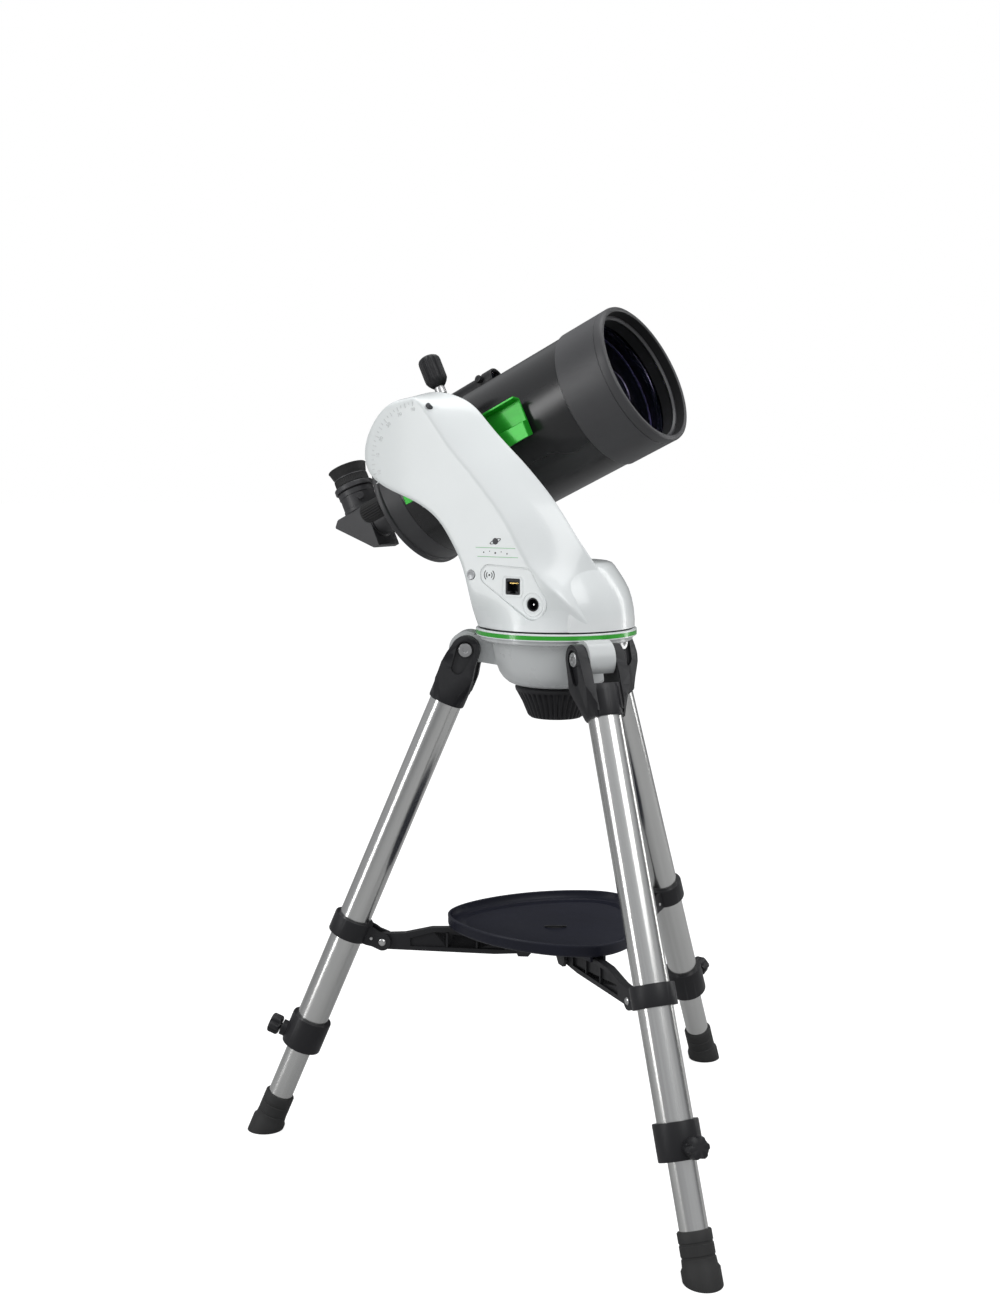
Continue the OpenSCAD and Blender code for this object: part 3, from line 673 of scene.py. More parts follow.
# ---- rear cover, turntable gap, hub ----
cover_outline = [(0, 5), (76, 5), (76, 12), (75, 22), (73, 32), (70, 41), (65.5, 49.5), (60.5, 57.2),
                 (56.4, 63.2), (53.6, 66.2), (50, 67.5), (0, 67.5)]
cover_inner = [(0, 64.4), (41.5, 64.4), (46, 62.5), (54, 56), (61, 47), (67, 36), (71, 24), (72.8, 12),
               (72.8, 4.9), (0, 4.9)]
cover_plan = [(-80, 12), (-64, 12), (-50, -14), (0, -30), (24, -40), (38, -56), (60, -60), (90, -52),
              (90, 90), (-80, 90)]
cover = combined(cut(turned(cover_outline), turned(cover_inner)), prism(cover_plan, -10, 100), "INTERSECT")
# A wall that closes the cover's open edge behind the arm
wall_plan = [(-80, 12), (-64, 12), (-50, -14), (0, -30), (4, -27), (-47, -11), (-61, 15), (-80, 15)]
cover = joined(cover, combined(turned(cover_outline), prism(wall_plan, 5.5, 67), "INTERSECT"))
piece("rear_cover", cover, ARM, "arm", "arm_white", ["arm_rear_cover"], edge=0.8)
# A near-black ring fills the gap between the arm and the ring: painted shadow in the gap
piece("turntable_gap", pipe(3.6, 4.95, 74.6, 60), ARM, "arm", "black_plastic", look=GAP_BLACK)

RING_R = 78.0
stripe = turned([(74, -3.6), (77.2, -3.6), (RING_R, -3.0), (RING_R, -2.1), (RING_R, 1.9), (RING_R, 2.8),
                 (77.2, 3.4), (74, 3.4)], 160)
for face in stripe.faces:
    middle = face.calc_center_median()
    face.material_index = 1 if middle.xy.length > 77.8 and -2.2 < middle.z < 2.0 else 0
piece("stripe_ring", stripe, HEAD, "tripod", "trim_green", look=[LOOKS["arm_white"], LOOKS["trim_green"]],
      replaces=["trim_ring"], sharp=50)

bowl = turned([(66, 3.4), (74, 3.4), (74, -7), (72.5, -8.2), (64.4, -8.6), (63, -10), (62, -14),
               (59.5, -25), (57.4, -34), (55, -40), (51.5, -45), (46.5, -49.4), (41, -52), (36, -53),
               (6.1, -53), (6.1, -48.5), (36, -48.5), (43, -46.5), (48.5, -42), (52.6, -36), (55.8, -24),
               (58, -12), (59, -7), (66, -3.5)], 128)
lugs = []
for k in LEGS:
    outline = ([(50, -6.0), (78.6, -4.2), (78.6, -2.64)] + arc(HINGE_R, -HINGE_DROP, 17.5, 115, -45.6, 16)
               + [(72, -31), (52, -34)])
    lugs.append(moved(slab(outline, -13, 13), turn(180 + 120 * k, "Z")))
hub = joined(bowl, *lugs)
hub = cut(hub, turned([(0, 10), (0, -48.5), (36, -48.5), (43, -46.5), (48.5, -42), (52.6, -36), (55.8, -24),
                       (58, -12), (59, -7), (66, -3.5), (66, 10)], 128))
piece("hub_bowl", hub, HEAD, "tripod", "hub_grey", ["tripod_hub"], edge=1.2, sharp=40, sides=3)

KNOB_TOP = -53.6
piece("hub_clamp_knob", fluted([(12, KNOB_TOP + 0.01, 0), (38.6, KNOB_TOP, 0), (40, KNOB_TOP - 1.2, 0),
                                (39.2, KNOB_TOP - 4.5, 0), (38.6, KNOB_TOP - 5.2, 1), (33, -69, 1),
                                (27.8, -81.5, 1), (26.5, -83.2, 0.5), (24.5, -84.6, 0), (20, -85, 0),
                                (8, -84, 0)], 40, 1.5),
      HEAD, "hub_clamp", "black_plastic", ["hub_knob"], sharp=50)

# ---- telescope tube ----
TUBE_R = 70.0
FRONT, REAR, CELL_BACK = 196.0, -102.0, 140.0
TUBE_X = TUBE @ ALONG_X
piece("optical_tube", pipe(-75, CELL_BACK, TUBE_R, 68.4, 160), TUBE_X, "telescope", "tube_black",
      ["main_tube"], edge=0.3)
cell = turned([
    (70.6, CELL_BACK - 0.2), (71.5, CELL_BACK + 0.6), (71.5, 186.2), (71.0, 186.5), (71.0, 187.1),
    (71.5, 187.4), (71.5, FRONT - 3), (70.9, FRONT - 1), (69.5, FRONT), (67.2, FRONT), (66.2, FRONT - 0.7),
    (66, FRONT - 2), (66, 183.2), (63.6, 182.8), (63.6, 172), (66.4, 172), (66.4, 160), (62, 160),
    (62, 130), (68.4, 130), (68.4, CELL_BACK - 0.2)], 160)
for face in cell.faces:
    face.material_index = 1 if face.calc_center_median().xy.length < 66.3 else 0
piece("front_cell_ring", cell, TUBE_X, "telescope", "cell_black",
      look=[LOOKS["cell_black"], LOOKS["baffle_black"]], replaces=["front_cell"], sharp=28)
piece("lens_retaining_ring", turned([(63.2, 183.3), (66.2, 183.3), (66.2, 185.8), (65.6, 186.4),
                                     (63.8, 186.4), (62.4, 184.6)], 160),
      TUBE_X, "telescope", "cell_black", sharp=28)
# The notches are thin near-black plates on the ring: painted shade in the notches
for i in range(3):
    notch = at(0, 0, 186.3) @ turn(120 * i + 40, "Z")
    piece(f"retaining_notch_{i + 1}", moved(block((63.9, -1.2, 0.0), (65.6, 1.2, 0.25)), notch), TUBE_X,
          "telescope", "cell_black", look=GAP_BLACK)


def dished(radius, edge_x, depth, count=14):
    """Profile points of a surface that is hollow by depth in the middle."""
    return [(radius * i / count, edge_x - depth * (1 - (i / count) ** 2)) for i in range(count + 1)]


piece("corrector", turned(dished(66.2, 171.8, 6.5) + [(66.3, 171.0), (66.3, 160.5)]
                          + dished(66.2, 160.2, 5.9)[::-1], 128),
      TUBE_X, "telescope", "lens_coated", ["corrector_lens"], sharp=50)
piece("secondary_holder", turned([(0, 154.2), (21, 155.2), (21, 150), (18, 149.2), (15.2, 128), (13.6, 128),
                                  (15.6, 150), (0, 151)], 96),
      TUBE_X, "telescope", "baffle_black", ["secondary_baffle"])
piece("secondary_ring",
      turned([(19.2, 155.05), (21.3, 155.3), (21.3, 156.6), (20.4, 157.0), (19.2, 156.2)], 96),
      TUBE_X, "telescope", "baffle_black", look=LOOKS["chrome_steel"])
piece("inner_light_ring", turned([(60.2, 150), (61.8, 150), (61.8, 152), (60.2, 151.4)], 128),
      TUBE_X, "telescope", "cell_black", look=LOOKS["saddle_metal"])
piece("rear_cell_ring", turned([
    (68.4, -65), (68.4, -75), (70.2, -75), (70.2, -95.6), (72.1, -96.6), (72.5, -98), (72.5, -101.2),
    (71.6, REAR), (67.5, REAR), (66, REAR + 0.5), (64.5, -103.6), (52, -109), (20, -109), (20, -104),
    (62, -98), (64, -65)], 160),
      TUBE_X, "telescope", "cell_black", ["rear_cell"], edge=0.35)
screws = []
for i in range(6):
    screws.append(moved(cut(rod(-110.6, -107.4, 2.3, 24), rod(-111, -109.6, 1.25, 6)),
                        turn(60 * i + 20, "Z") @ at(44, 0, 0)))
piece("rear_cell_screws", merged(*screws), TUBE_X, "telescope", "chrome_steel")
piece("visual_back_ring", turned([(15.95, -108.9), (26, -108.9), (26, -112.6), (25.2, -113.5), (22, -113.7),
                                  (22, -115.2), (21.4, -115.6), (21.4, -127.6), (22, -128.2), (21.6, -130),
                                  (15.95, -130)], 96),
      TUBE_X, "telescope", "cell_black", ["visual_back"], sharp=28)

focus_place = TUBE @ shift(0, -38, 4) @ ALONG_X
piece("focus_grip", fluted([(4, -118.2, 0), (9, -118, 0), (10.6, -120, 0), (11, -121.2, 1), (11, -142.6, 1),
                            (10.6, -144, 0.4), (9.4, -145.9, 0), (6.5, -146, 0), (6, -145.2, 0),
                            (2, -145.2, 0)], 24, 1.0),
      focus_place, "focuser", "knob_rubber", ["focus_knob"], sharp=50)
piece("focus_spindle", turned([(0, -92), (3.5, -92), (3.5, -110.4), (7.2, -110.6), (7.6, -111.2),
                               (7.6, -116.4), (7, -117.6), (0, -117.6)], 64),
      focus_place, "focuser", "knob_rubber", look=LOOKS["black_plastic"], sharp=28)

# ---- diagonal and eyepiece ----
EYE_X = -174.0
housing_outline = [(-157, 20), (-196.6, 20), (-198.6, 19), (-203.6, 14.2), (-204, 12.6), (-165.6, -26.4),
                   (-163, -27.5), (-157, -27.5)]
housing = cut(slab(housing_outline, -18.5, 18.5), slab([(-159, 15), (-189, 15), (-159, -15)], -14, 14),
              moved(rod(-160, -100, 13.5), ALONG_X), moved(rod(14, 30, 13.5), at(EYE_X, 0, 0)))
piece("diagonal_body", housing, TUBE, "diagonal", "cell_black", ["diagonal_housing"], edge=1.2, sides=3)
piece("diagonal_nosepiece", turned([(13.5, -157.5), (17.6, -157.5), (17.6, -156), (15.87, -155.4),
                                    (15.87, -136), (18.2, -136), (19, -135.2), (19, -131.4), (18.2, -130.6),
                                    (15.87, -130.6), (15.87, -111), (13.5, -111)], 96),
      TUBE_X, "diagonal", "cell_black", sharp=28)
eye_place = TUBE @ shift(EYE_X, 0, 0)
piece("eyepiece_holder", turned([(15.95, 19.6), (19.4, 19.6), (20, 20.4), (20, 23.6), (19.3, 24.2),
                                 (19.3, 37.4), (20, 38), (20, 43), (19.4, 44), (15.95, 44)], 96),
      eye_place, "diagonal", "cell_black", sharp=28)
piece("eyepiece_screw", fluted([(1.6, 15.9, 0), (1.6, 22.4, 0), (3.9, 22.6, 0), (4.2, 23.4, 1),
                                (4.2, 27.4, 1), (3.6, 28.2, 0), (1, 28.2, 0)], 16, 0.5, 6),
      eye_place @ shift(0, 0, 31) @ turn(-48, "Z") @ ALONG_X, "diagonal", "cell_black",
      sharp=50)
piece("eyepiece_barrel", turned([(11.5, 23.2), (15.87, 23.2), (15.87, 44.3), (21.4, 44.5), (22, 45.1),
                                 (22, 49.2), (21.4, 50), (18.8, 50.2), (18.8, 51), (18.2, 51.4),
                                 (18.2, 58.6), (18.8, 59), (18.6, 60), (11.5, 60)], 96),
      eye_place, "eyepiece_set", "cell_black", ["eyepiece"], sharp=28)
piece("eyepiece_grip", fluted([(17.6, 51.2, 0), (18.8, 51.6, 0), (18.9, 52.2, 1), (18.9, 57.8, 1),
                               (18.8, 58.4, 0), (17.6, 58.8, 0)], 48, 0.6, 4),
      eye_place, "eyepiece_set", "cell_black", look=LOOKS["knob_rubber"], sharp=50)
piece("eyecup_rubber", turned([(11.5, 60), (18, 60), (18.2, 61.2), (18.8, 62.4), (19.6, 65.4), (21, 69.8),
                               (21.5, 70.7), (21.2, 71.1), (20.3, 71), (19.6, 70), (17.6, 65.6),
                               (15.6, 63.4), (11.5, 62.6)], 96),
      eye_place, "eyepiece_set", "knob_rubber", ["eyecup"], sharp=60)
piece("eye_lens", turned([(0, 61.0), (6, 60.6), (11.6, 59), (11.6, 56.6), (0, 56.6)], 64), eye_place,
      "eyepiece_set", "prism_glass", look=LOOKS["lens_coated"], sharp=40)

# ---- dovetail bar, clamp knob, finder ----
BAR_FRONT, BAR_REAR = 97.0, -62.0
bar_outline = [(-20, -21.8), (-20, -6), (-12, -4.4), (-11.2, 16.8), (-20, 18.4), (-20, 20.6), (-9, 19),
               (-9, 15), (-9, -15), (-9, -19)]
bar = prism(bar_outline, BAR_REAR, BAR_FRONT)
foot = prism([(-9.5, -15), (-9.5, 15), (1.6, 15), (1.6, -15)], BAR_REAR + 2, BAR_FRONT - 9)
bar = joined(bar, foot)
# The outline's first axis goes to +Y, its second to +Z, and the length to +X
bar = moved(bar, Matrix(((0, 0, 1, 0), (1, 0, 0, 0), (0, 1, 0, 0), (0, 0, 0, 1))))
bar = cut(bar, moved(rod(-200, 200, TUBE_R, 160), at(0, TUBE_SIDE, 0) @ ALONG_X))
piece("green_dovetail", bar, SADDLE, "telescope", "green_metal", ["dovetail_bar"], edge=0.6)

knob_place = SADDLE @ shift(21, -14.5, 0)
piece("clamp_grip", fluted([(4.2, 68, 0), (6.0, 68.2, 0), (7.4, 69.6, 0), (9.4, 72, 0), (11.3, 75.4, 1),
                            (11.5, 77.5, 1), (11.5, 94.5, 1), (11.0, 97, 1), (9.4, 99.4, 0.4),
                            (6.8, 100.8, 0), (3, 101, 0)], 12, 1.5, 10),
      knob_place, "clamp", "black_plastic", ["clamp_knob"], sharp=60)
piece("clamp_shank",
      turned([(0, 24), (4, 24), (4, 60), (5.4, 60.4), (5.4, 66), (4.9, 68.3), (0, 68.3)], 48),
      knob_place, "clamp", "black_plastic", look=LOOKS["chrome_steel"], sharp=28)

FINDER_UP = 88.5
FINDER_ROUND = TUBE @ turn(-22, "X")
finder_place = FINDER_ROUND @ shift(0, 0, FINDER_UP)
piece("finder_tube", turned([(0, -45), (7.4, -45), (9.2, -44.2), (10.4, -42.4), (10.8, -39), (10.8, 8),
                             (11.6, 9.4), (12.2, 11), (12.2, 22.8), (11.7, 24), (10.6, 24), (9.7, 22.4),
                             (9.6, -41), (0, -41)], 96),
      finder_place @ ALONG_X, "telescope", "black_plastic", ["finder_body"], sharp=28)
piece("finder_window", turned([(0, 18.6), (9.6, 18.6), (9.6, 20.2), (0, 20.2)], 64), finder_place @ ALONG_X,
      "telescope", "lens_coated")
piece("finder_base", slab([(-40, -13), (-40, -7), (-34, -2), (12, -2), (18, -8), (18, -13)], -7, 7),
      finder_place, "telescope", "black_plastic", edge=0.8)
shoe = cut(block((-28, -9, 66), (19.5, 9, 75.5)), moved(rod(-60, 60, TUBE_R, 160), ALONG_X))
piece("finder_foot", shoe, FINDER_ROUND, "telescope", "black_plastic", ["finder_shoe"], edge=0.6)
dial = fluted([(3, 12.6, 0), (6.8, 12.6, 0), (7, 13.2, 1), (7, 17.6, 1), (6.4, 18.5, 0), (2, 18.5, 0)], 20,
              0.7, 6)
piece("finder_dial_knob", moved(dial, ALONG_Y), finder_place @ shift(-24, 0, 0), "finder_switch",
      "black_plastic", ["finder_dial"], sharp=50)
adjuster = fluted([(2, -17, 0), (4, -16.6, 1), (4, -12.6, 1), (3, -12, 0), (2, -11, 0)], 14, 0.5, 6)
piece("finder_adjuster", moved(adjuster, at(10, 0, 0) @ ALONG_Y), finder_place, "telescope",
      "black_plastic", sharp=50)

# ---- legs ----
LEG_R, LOWER_R = 16.0, 12.5
EAR_IN, EAR_OUT = 13.5, 23.5
COLLAR_DOWN = 308.0
HINGE_IN = 36.0
LOCK_MIDDLE = -437.0
LEG_LEN = 545.0
ear_outline = (arc(0, 0, 13.9, 0, 180, 20)
               + [(-15.4, -14), (-17.6, -24), (-18.2, -34), (-18.4, -40), (-17.6, -43), (-18.4, -46),
                  (-18.4, -55.4), (17.6, -58), (17.6, -50), (16.8, -47), (16.8, -40), (17.3, -37),
                  (16.8, -30), (17.2, -19), (16, -9)])


def yoke_form():
    """Two ears that close in to a round socket over the top of the leg tube."""
    socket = turned([(17.8, -57.4), (18.2, -56), (18.4, -34), (17.6, -28), (0, -28), (0, -57.4)], 96)
    plates = [slab(ear_outline, EAR_IN, EAR_OUT), slab(ear_outline, -EAR_OUT, -EAR_IN)]
    web = block((-15.4, -EAR_OUT + 1.5, -52), (14.4, EAR_OUT - 1.5, -27))
    taper = [(-EAR_OUT, 20), (-EAR_OUT, -21), (-18, -58.5), (18, -58.5), (EAR_OUT, -21), (EAR_OUT, 20)]
    form = combined(joined(socket, web, *plates), moved(slab(taper, -30, 30), turn(90, "Z")), "INTERSECT")
    form = combined(form, turned([(0, 30), (44, 30), (44, -16), (28.5, -28), (22.4, -44), (18.7, -56),
                                  (18.2, -59), (0, -59)], 96), "INTERSECT")
    channel = hull([(0, 0, 8.8), (0, -19, 6.2)])
    return cut(form, rod(-80, -34, LEG_R + 0.02, 96), moved(rod(-EAR_IN, EAR_IN, 20, 64), UPRIGHT),
               slab(channel, EAR_OUT - 2.8, EAR_OUT + 2), slab(channel, -EAR_OUT - 2, -EAR_OUT + 2.8),
               moved(rod(-30, 30, 4.06), UPRIGHT))


def bolt_head(side):
    """Recessed hexagon-socket bolt head on one ear."""
    head = cut(turned([(0, 0), (6.6, 0), (6.9, 0.4), (6.9, 1.7), (6.2, 2.4), (0, 2.4)], 48),
               turned([(0, 0.9), (3.1, 0.9), (3.1, 3), (0, 3)], 6))
    return moved(head, at(0, side * (EAR_OUT - 2.7), 0) @ turn(-90 * side, "X"))


def collar_form():
    ears = []
    for side in (-1, 1):
        outline = ([(-14, 9.6), (-22, 9.4), (-28, 8.2)] + arc(-HINGE_IN, 0, 8.6, 80, 280, 14)
                   + [(-28, -8.4), (-22, -9.6), (-14, -9.8)])
        ears.append(slab(outline, side * 6.4 - 1.9, side * 6.4 + 1.9))
    band = turned([(20.0, -10), (20.3, -9.2), (20.3, 9.2), (20.0, 10), (10, 10), (10, -10)], 96)
    form = joined(band, *ears, moved(rod(-7, 7, 5, 32), at(-22, 0, 0) @ UPRIGHT))
    return cut(form, rod(-12, 12, LEG_R + 0.02, 96))


def lock_form():
    band = turned([(20.0, -446), (20.3, -445), (20.3, -415), (20.0, -414), (10, -414), (10, -446)], 96)
    boss = moved(rod(0, LEG_R + 9, 8, 48), at(0, 0, LOCK_MIDDLE) @ ALONG_X)
    form = joined(band, boss)
    return cut(form, rod(-428, -400, LEG_R + 0.02, 96), rod(-460, -427, LOWER_R + 0.3, 96),
               moved(rod(0, 60, 3.06, 32), at(0, 0, LOCK_MIDDLE) @ ALONG_X))


def foot_form(k):
    """Ribbed rubber foot, cut flat at the ground."""
    form = turned([(12.4, -LEG_LEN + 24), (12.6, -LEG_LEN + 42), (14.2, -LEG_LEN + 42), (15, -LEG_LEN + 41),
                   (15, -LEG_LEN + 33), (14.4, -LEG_LEN + 32.4), (14.4, -LEG_LEN + 31),
                   (15, -LEG_LEN + 30.4), (15, -LEG_LEN + 22), (14.4, -LEG_LEN + 21.4),
                   (14.4, -LEG_LEN + 20), (15, -LEG_LEN + 19.4), (15.4, -LEG_LEN + 13.6),
                   (17, -LEG_LEN + 11), (17, -LEG_LEN - 14), (0, -LEG_LEN - 14), (0, -LEG_LEN + 24)], 72)
    ground = leg(k).inverted()
    point = ground @ Vector((0, 0, 0)) / MM
    normal = (ground.to_3x3() @ Vector((0, 0, 1))).normalized()
    cutting = bmesh.ops.bisect_plane(form, geom=form.verts[:] + form.edges[:] + form.faces[:],
                                     plane_co=point, plane_no=-normal, clear_outer=True)
    rim = [item for item in cutting["geom_cut"] if isinstance(item, bmesh.types.BMEdge)]
    bmesh.ops.contextual_create(form, geom=rim)
    bmesh.ops.recalc_face_normals(form, faces=form.faces)
    return form


for k in LEGS:
    place = leg(k)
    body = f"leg_{k}"
    piece(f"yoke_{k}", yoke_form(), place, body, "black_plastic", [f"leg_yoke_{k}"],
          edge=0.9, sharp=32, sides=3)
    piece(f"yoke_bolts_{k}", merged(bolt_head(-1), bolt_head(1), moved(rod(-21, 21, 4, 32), UPRIGHT)),
          place, "tripod", "chrome_steel", ["hinge_bolts"] if k == 1 else (), edge=0.2)
    piece(f"leg_tube_{k}", pipe(-428, -34, LEG_R, 14.6, 128), place, body, "leg_steel",
          [f"upper_leg_{k}"], edge=0.2)
    collar_place = place @ shift(0, 0, -COLLAR_DOWN)
    piece(f"spreader_collar_{k}", collar_form(), collar_place, body, "black_plastic", edge=0.5)
    pins = [moved(turned([(0, 0), (3.6, 0), (3.6, 0.7), (2.6, 1.5), (0, 1.7)], 32),
                  at(-HINGE_IN, side * 8.3, 0) @ turn(-90 * side, "X")) for side in (-1, 1)]
    rivets = [moved(turned([(0, 0), (1.7, 0), (1.4, 0.7), (0, 0.9)], 24),
                    at(-24.5, side * 8.3, -1) @ turn(-90 * side, "X")) for side in (-1, 1)]
    piece(f"collar_pins_{k}", merged(moved(rod(-8.4, 8.4, 2.95, 32), at(-HINGE_IN, 0, 0) @ UPRIGHT),
                                     *pins, *rivets),
          collar_place, body, "chrome_steel", sharp=28)
    piece(f"lock_collar_{k}", lock_form(), place, body, "black_plastic", [f"leg_collars_{k}"], edge=0.6)
    piece(f"lower_tube_{k}", pipe(-LEG_LEN + 24, -60, LOWER_R, 11.2, 96), place, f"lower_{k}", "leg_steel",
          [f"lower_leg_{k}"])
    piece(f"ribbed_foot_{k}", foot_form(k), place, f"lower_{k}", "knob_rubber",
          [f"rubber_foot_{k}"], sharp=40)
    lock_place = place @ shift(0, 0, LOCK_MIDDLE) @ ALONG_X
    head = fluted([(4, LEG_R + 10.5, 0), (8.4, LEG_R + 10.6, 0), (9.8, LEG_R + 11.8, 1),
                   (10, LEG_R + 13, 1), (10, LEG_R + 20, 1), (9.4, LEG_R + 21.4, 1), (8, LEG_R + 22, 0),
                   (3, LEG_R + 22, 0)], 6, 2.4, 16)
    piece(f"lock_thumbscrew_{k}", merged(head, rod(LOWER_R + 0.5, LEG_R + 11, 3, 32)), lock_place,
          f"lock_{k}", "black_plastic", [f"lock_screw_{k}"], sharp=50)

# ---- spreader and tray ----
SPREAD_R = HINGE_R + COLLAR_DOWN * math.sin(math.radians(SPLAY)) - HINGE_IN * math.cos(math.radians(SPLAY))
SPREAD_Z = (-HINGE_DROP - COLLAR_DOWN * math.cos(math.radians(SPLAY))
            - HINGE_IN * math.sin(math.radians(SPLAY)))
HUB_PIN_R = 30.0
TRAY_UNDER = 20.0


def spreader_form():
    outline = ([(SPREAD_R - 6, 8)] + [(SPREAD_R - 22, 9), (124, 15.5), (98, 16.5), (62, 12)]
               + arc(HUB_PIN_R, 0, 7, 90, 270, 10) + [(60, -9)] + arc(SPREAD_R, 0, 8, -90, 90, 12))
    inner = [(SPREAD_R - 28, -4), (SPREAD_R - 28, 4), (122, 11), (100, 12), (64, 7.5), (50, 4), (50, -4)]
    form = cut(slab(outline, -4, 4), slab(inner, 1.6, 10), slab(inner, -10, -1.6),
               moved(rod(-10, 10, 3.06, 32), at(SPREAD_R, 0, 0) @ UPRIGHT))
    ribs = [block((x - 0.9, -3.6, -3.9), (x + 0.9, 3.6, 10.6)) for x in (78, 108)]
    return joined(form, *ribs)


for k in LEGS:
    piece(f"spreader_strut_{k}", spreader_form(), leg_side(k) @ shift(0, 0, SPREAD_Z), f"spreader_{k}",
          "black_plastic", [f"spreader_arm_{k}"], edge=0.6)


def tray_radius(angle):
    """Edge of the rounded triangle: three bulging sides, blended at the corners."""
    side_r, side_back, softness = 169.9, 80.0, 9.6
    total = 0.0
    for k in LEGS:
        a = math.radians(angle - (180 + 60 + 120 * k))
        reach = -side_back * math.cos(a) + math.sqrt(side_r ** 2 - (side_back * math.sin(a)) ** 2)
        total += reach ** -softness
    return total ** (-1 / softness)


def dish(levels, steps=180):
    """A tray: levels are (distance in from the edge, height), from the outer foot to the floor."""
    angles = [360 * i / steps for i in range(steps)]
    return loft([[((tray_radius(a) - inset) * math.cos(math.radians(a)),
                   (tray_radius(a) - inset) * math.sin(math.radians(a)), z) for a in angles]
                 for inset, z in levels])


tray_place = HEAD @ shift(0, 0, SPREAD_Z + TRAY_UNDER)
piece("tray_dish", dish([(6, 0), (2.4, 0.2), (0.8, 1.4), (0.2, 3.4), (0.2, 9.6), (0, 10), (0, 11.4),
                         (0.5, 12), (2.1, 12), (2.8, 11.4), (3.4, 7), (5.2, 4.2), (8.4, 3.0), (16, 3.0),
                         (17, 3.3), (18.2, 3.3), (19.2, 3.0), (60, 3.0)]),
      tray_place, "spreader_centre", "tray_plastic", ["tray"], sharp=40)
TOWARD_CAMERA = -82.0
slot_outline = arc(0, 0, 13.5, -42, 42, 16) + arc(0, 0, 10.8, 42, -42, 16)
# The slot is a thin near-black sheet on the tray floor: painted shade in the slot
piece("tray_slot", moved(prism(slot_outline, 3.0, 3.25), turn(TOWARD_CAMERA, "Z")),
      tray_place, "spreader_centre", "tray_plastic", look=GAP_BLACK)
grip_path = [(14.6 * math.cos(math.radians(a)), 14.6 * math.sin(math.radians(a)),
              3.2 + 2.0 * math.cos(math.radians(a * 90 / 46)) ** 0.5) for a in range(-45, 46, 5)]
piece("tray_grip", moved(swept(grip_path, 0.9, 12), turn(TOWARD_CAMERA, "Z")), tray_place,
      "spreader_centre", "tray_plastic", look=LOOKS["black_plastic"], sharp=60)
clips = []
for k in LEGS:
    for side in (-1, 1):
        clips.append(moved(block((84, side * 6.7 - 1.5, -7), (97, side * 6.7 + 1.5, 0.5)),
                           turn(180 + 120 * k, "Z")))
piece("tray_clips", merged(*clips), tray_place, "spreader_centre", "tray_plastic", edge=0.4)

# ---- studio: floor, light and camera ----
FLOOR_R, FLOOR_DROP, FLOOR_SIDES = 30.0, 0.0002, 64
floor_mesh = bpy.data.meshes.new("floor")
floor_form = bmesh.new()
floor_form.faces.new([floor_form.verts.new(p) for p in ring_of(FLOOR_R, -FLOOR_DROP, FLOOR_SIDES)])
floor_form.to_mesh(floor_mesh)
floor_form.free()
floor = bpy.data.objects.new("floor", floor_mesh)
# The floor looks white, and throws back only part of that light onto the object
floor_look = material("pale floor", (0.42, 0.42, 0.42), 0.75, tone=0.01, rough_spread=0.05)
floor_tree = floor_look.node_tree
floor_shader = floor_tree.nodes["Principled BSDF"]
floor_shader.inputs["Emission Color"].default_value = (1, 1, 1, 1)
glow = floor_tree.nodes.new("ShaderNodeMath")
glow.operation = "MULTIPLY"
glow.inputs[1].default_value = 0.82
floor_tree.links.new(floor_tree.nodes.new("ShaderNodeLightPath").outputs["Is Camera Ray"], glow.inputs[0])
floor_tree.links.new(glow.outputs["Value"], floor_shader.inputs["Emission Strength"])
floor.data.materials.append(floor_look)
scene.collection.objects.link(floor)


def area_light(name, place, target, size, power):
    lamp = bpy.data.lights.new(name, "AREA")
    lamp.shape = "RECTANGLE"
    lamp.size, lamp.size_y = size
    lamp.energy = power
    obj = bpy.data.objects.new(name, lamp)
    scene.collection.objects.link(obj)
    obj.location = place
    obj.rotation_euler = (Vector(target) - Vector(place)).to_track_quat("-Z", "Y").to_euler()
    obj.visible_camera = False


area_light("key", (1.5, -1.5, 2.2), (0.05, 0, 0.6), (1.2, 1.6), 21)
area_light("left strip", (-1.7, -1.1, 1.0), (0.0, 0, 0.4), (0.35, 1.9), 12)
area_light("top", (0.0, 0.4, 2.6), (0, 0, 0.5), (1.8, 1.2), 15)
area_light("right rear strip", (1.5, 0.9, 1.0), (0.05, 0, 0.4), (0.3, 1.8), 7)

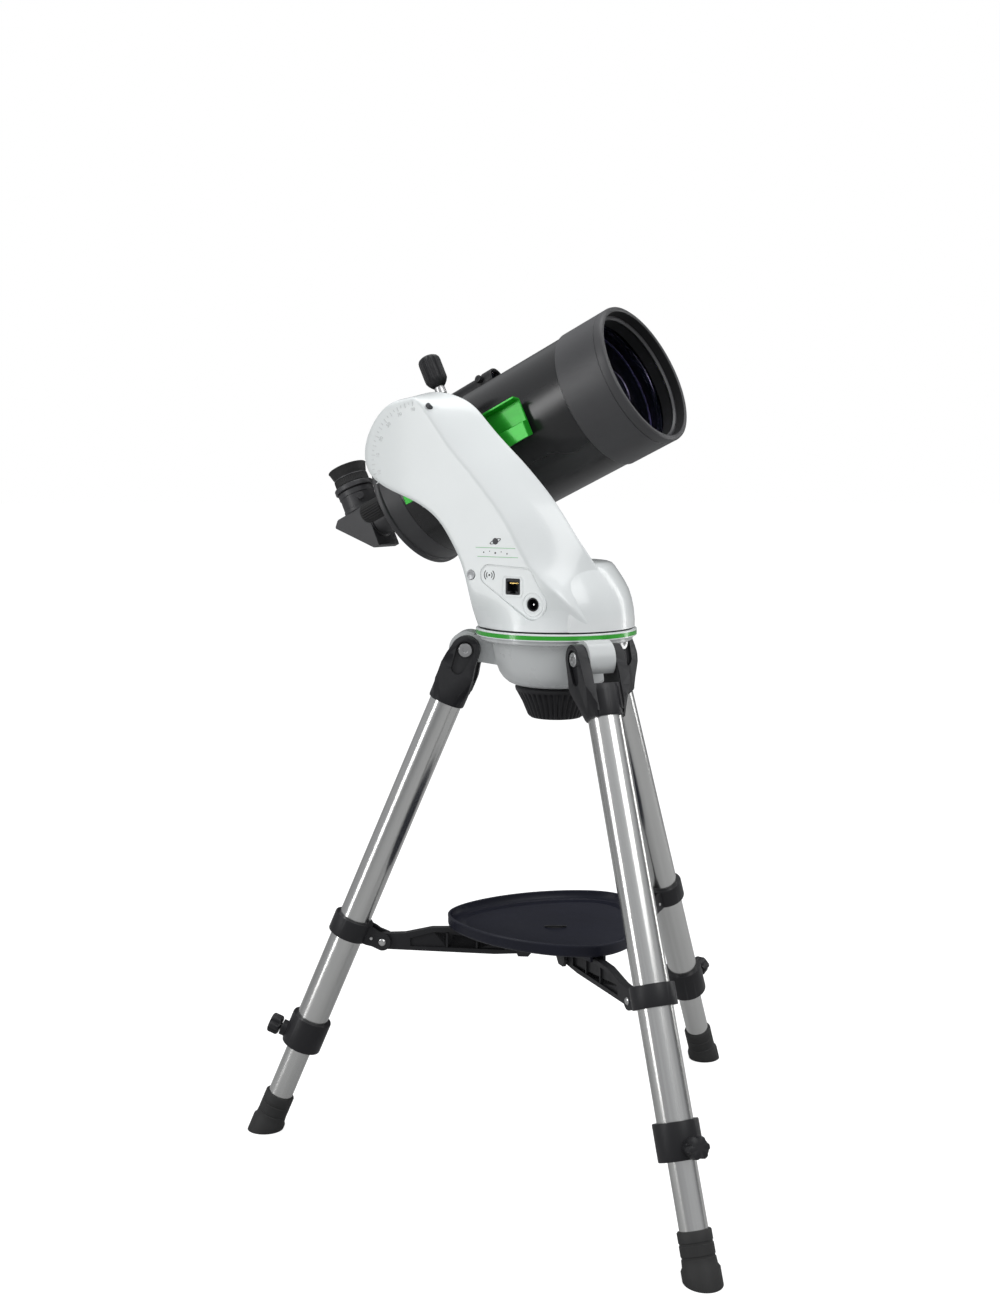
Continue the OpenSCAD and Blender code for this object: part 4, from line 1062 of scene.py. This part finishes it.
world = bpy.data.worlds.new("studio")
scene.world = world
world.use_nodes = True
sky = world.node_tree
background = sky.nodes["Background"]
direction = sky.nodes.new("ShaderNodeTexCoord")
parts = sky.nodes.new("ShaderNodeSeparateXYZ")
sky.links.new(direction.outputs["Generated"], parts.inputs["Vector"])
height = sky.nodes.new("ShaderNodeValToRGB")
height.color_ramp.elements[0].position = 0.35
height.color_ramp.elements[0].color = (0.22, 0.22, 0.23, 1)
height.color_ramp.elements[1].position = 0.85
height.color_ramp.elements[1].color = (0.62, 0.63, 0.64, 1)
rise = sky.nodes.new("ShaderNodeMapRange")
rise.inputs["From Min"].default_value = -1.0
sky.links.new(parts.outputs["Z"], rise.inputs["Value"])
sky.links.new(rise.outputs["Result"], height.inputs["Fac"])
# A dark card stands behind the object on the right, so that bright metal has an edge
behind = sky.nodes.new("ShaderNodeVectorMath")
behind.operation = "DOT_PRODUCT"
behind.inputs[1].default_value = (0.5, 0.86, 0.0)
sky.links.new(direction.outputs["Generated"], behind.inputs[0])
card = sky.nodes.new("ShaderNodeMapRange")
card.inputs["From Min"].default_value = 0.45
card.inputs["From Max"].default_value = 0.85
card.inputs["To Min"].default_value = 1.0
card.inputs["To Max"].default_value = 0.06
sky.links.new(behind.outputs["Value"], card.inputs["Value"])
dimmed = sky.nodes.new("ShaderNodeMix")
dimmed.data_type = "RGBA"
dimmed.inputs["A"].default_value = (0.0, 0.0, 0.0, 1)
sky.links.new(card.outputs["Result"], dimmed.inputs["Factor"])
sky.links.new(height.outputs["Color"], dimmed.inputs["B"])
seen = sky.nodes.new("ShaderNodeLightPath")
backdrop = sky.nodes.new("ShaderNodeMix")
backdrop.data_type = "RGBA"
backdrop.inputs["B"].default_value = (1.0, 1.0, 1.0, 1)
sky.links.new(seen.outputs["Is Camera Ray"], backdrop.inputs["Factor"])
sky.links.new(dimmed.outputs["Result"], backdrop.inputs["A"])
sky.links.new(backdrop.outputs["Result"], background.inputs["Color"])
background.inputs["Strength"].default_value = 1.0

CAMERA_ASIDE, CAMERA_BACK, CAMERA_UP = 142.9, -1534.4, 156.27
CAMERA_HEADING, CAMERA_DOWN = 97.35, 6.51
camera_data = bpy.data.cameras.new("camera")
camera_data.sensor_width = 36.0
camera_data.lens = 44.13
camera_data.clip_end = 200.0
camera = bpy.data.objects.new("camera", camera_data)
scene.collection.objects.link(camera)
camera.matrix_world = (HEAD @ shift(CAMERA_ASIDE, CAMERA_BACK, CAMERA_UP) @ turn(CAMERA_HEADING - 90, "Z")
                       @ turn(90 - CAMERA_DOWN, "X"))
scene.camera = camera
scene.view_settings.view_transform = "Standard"
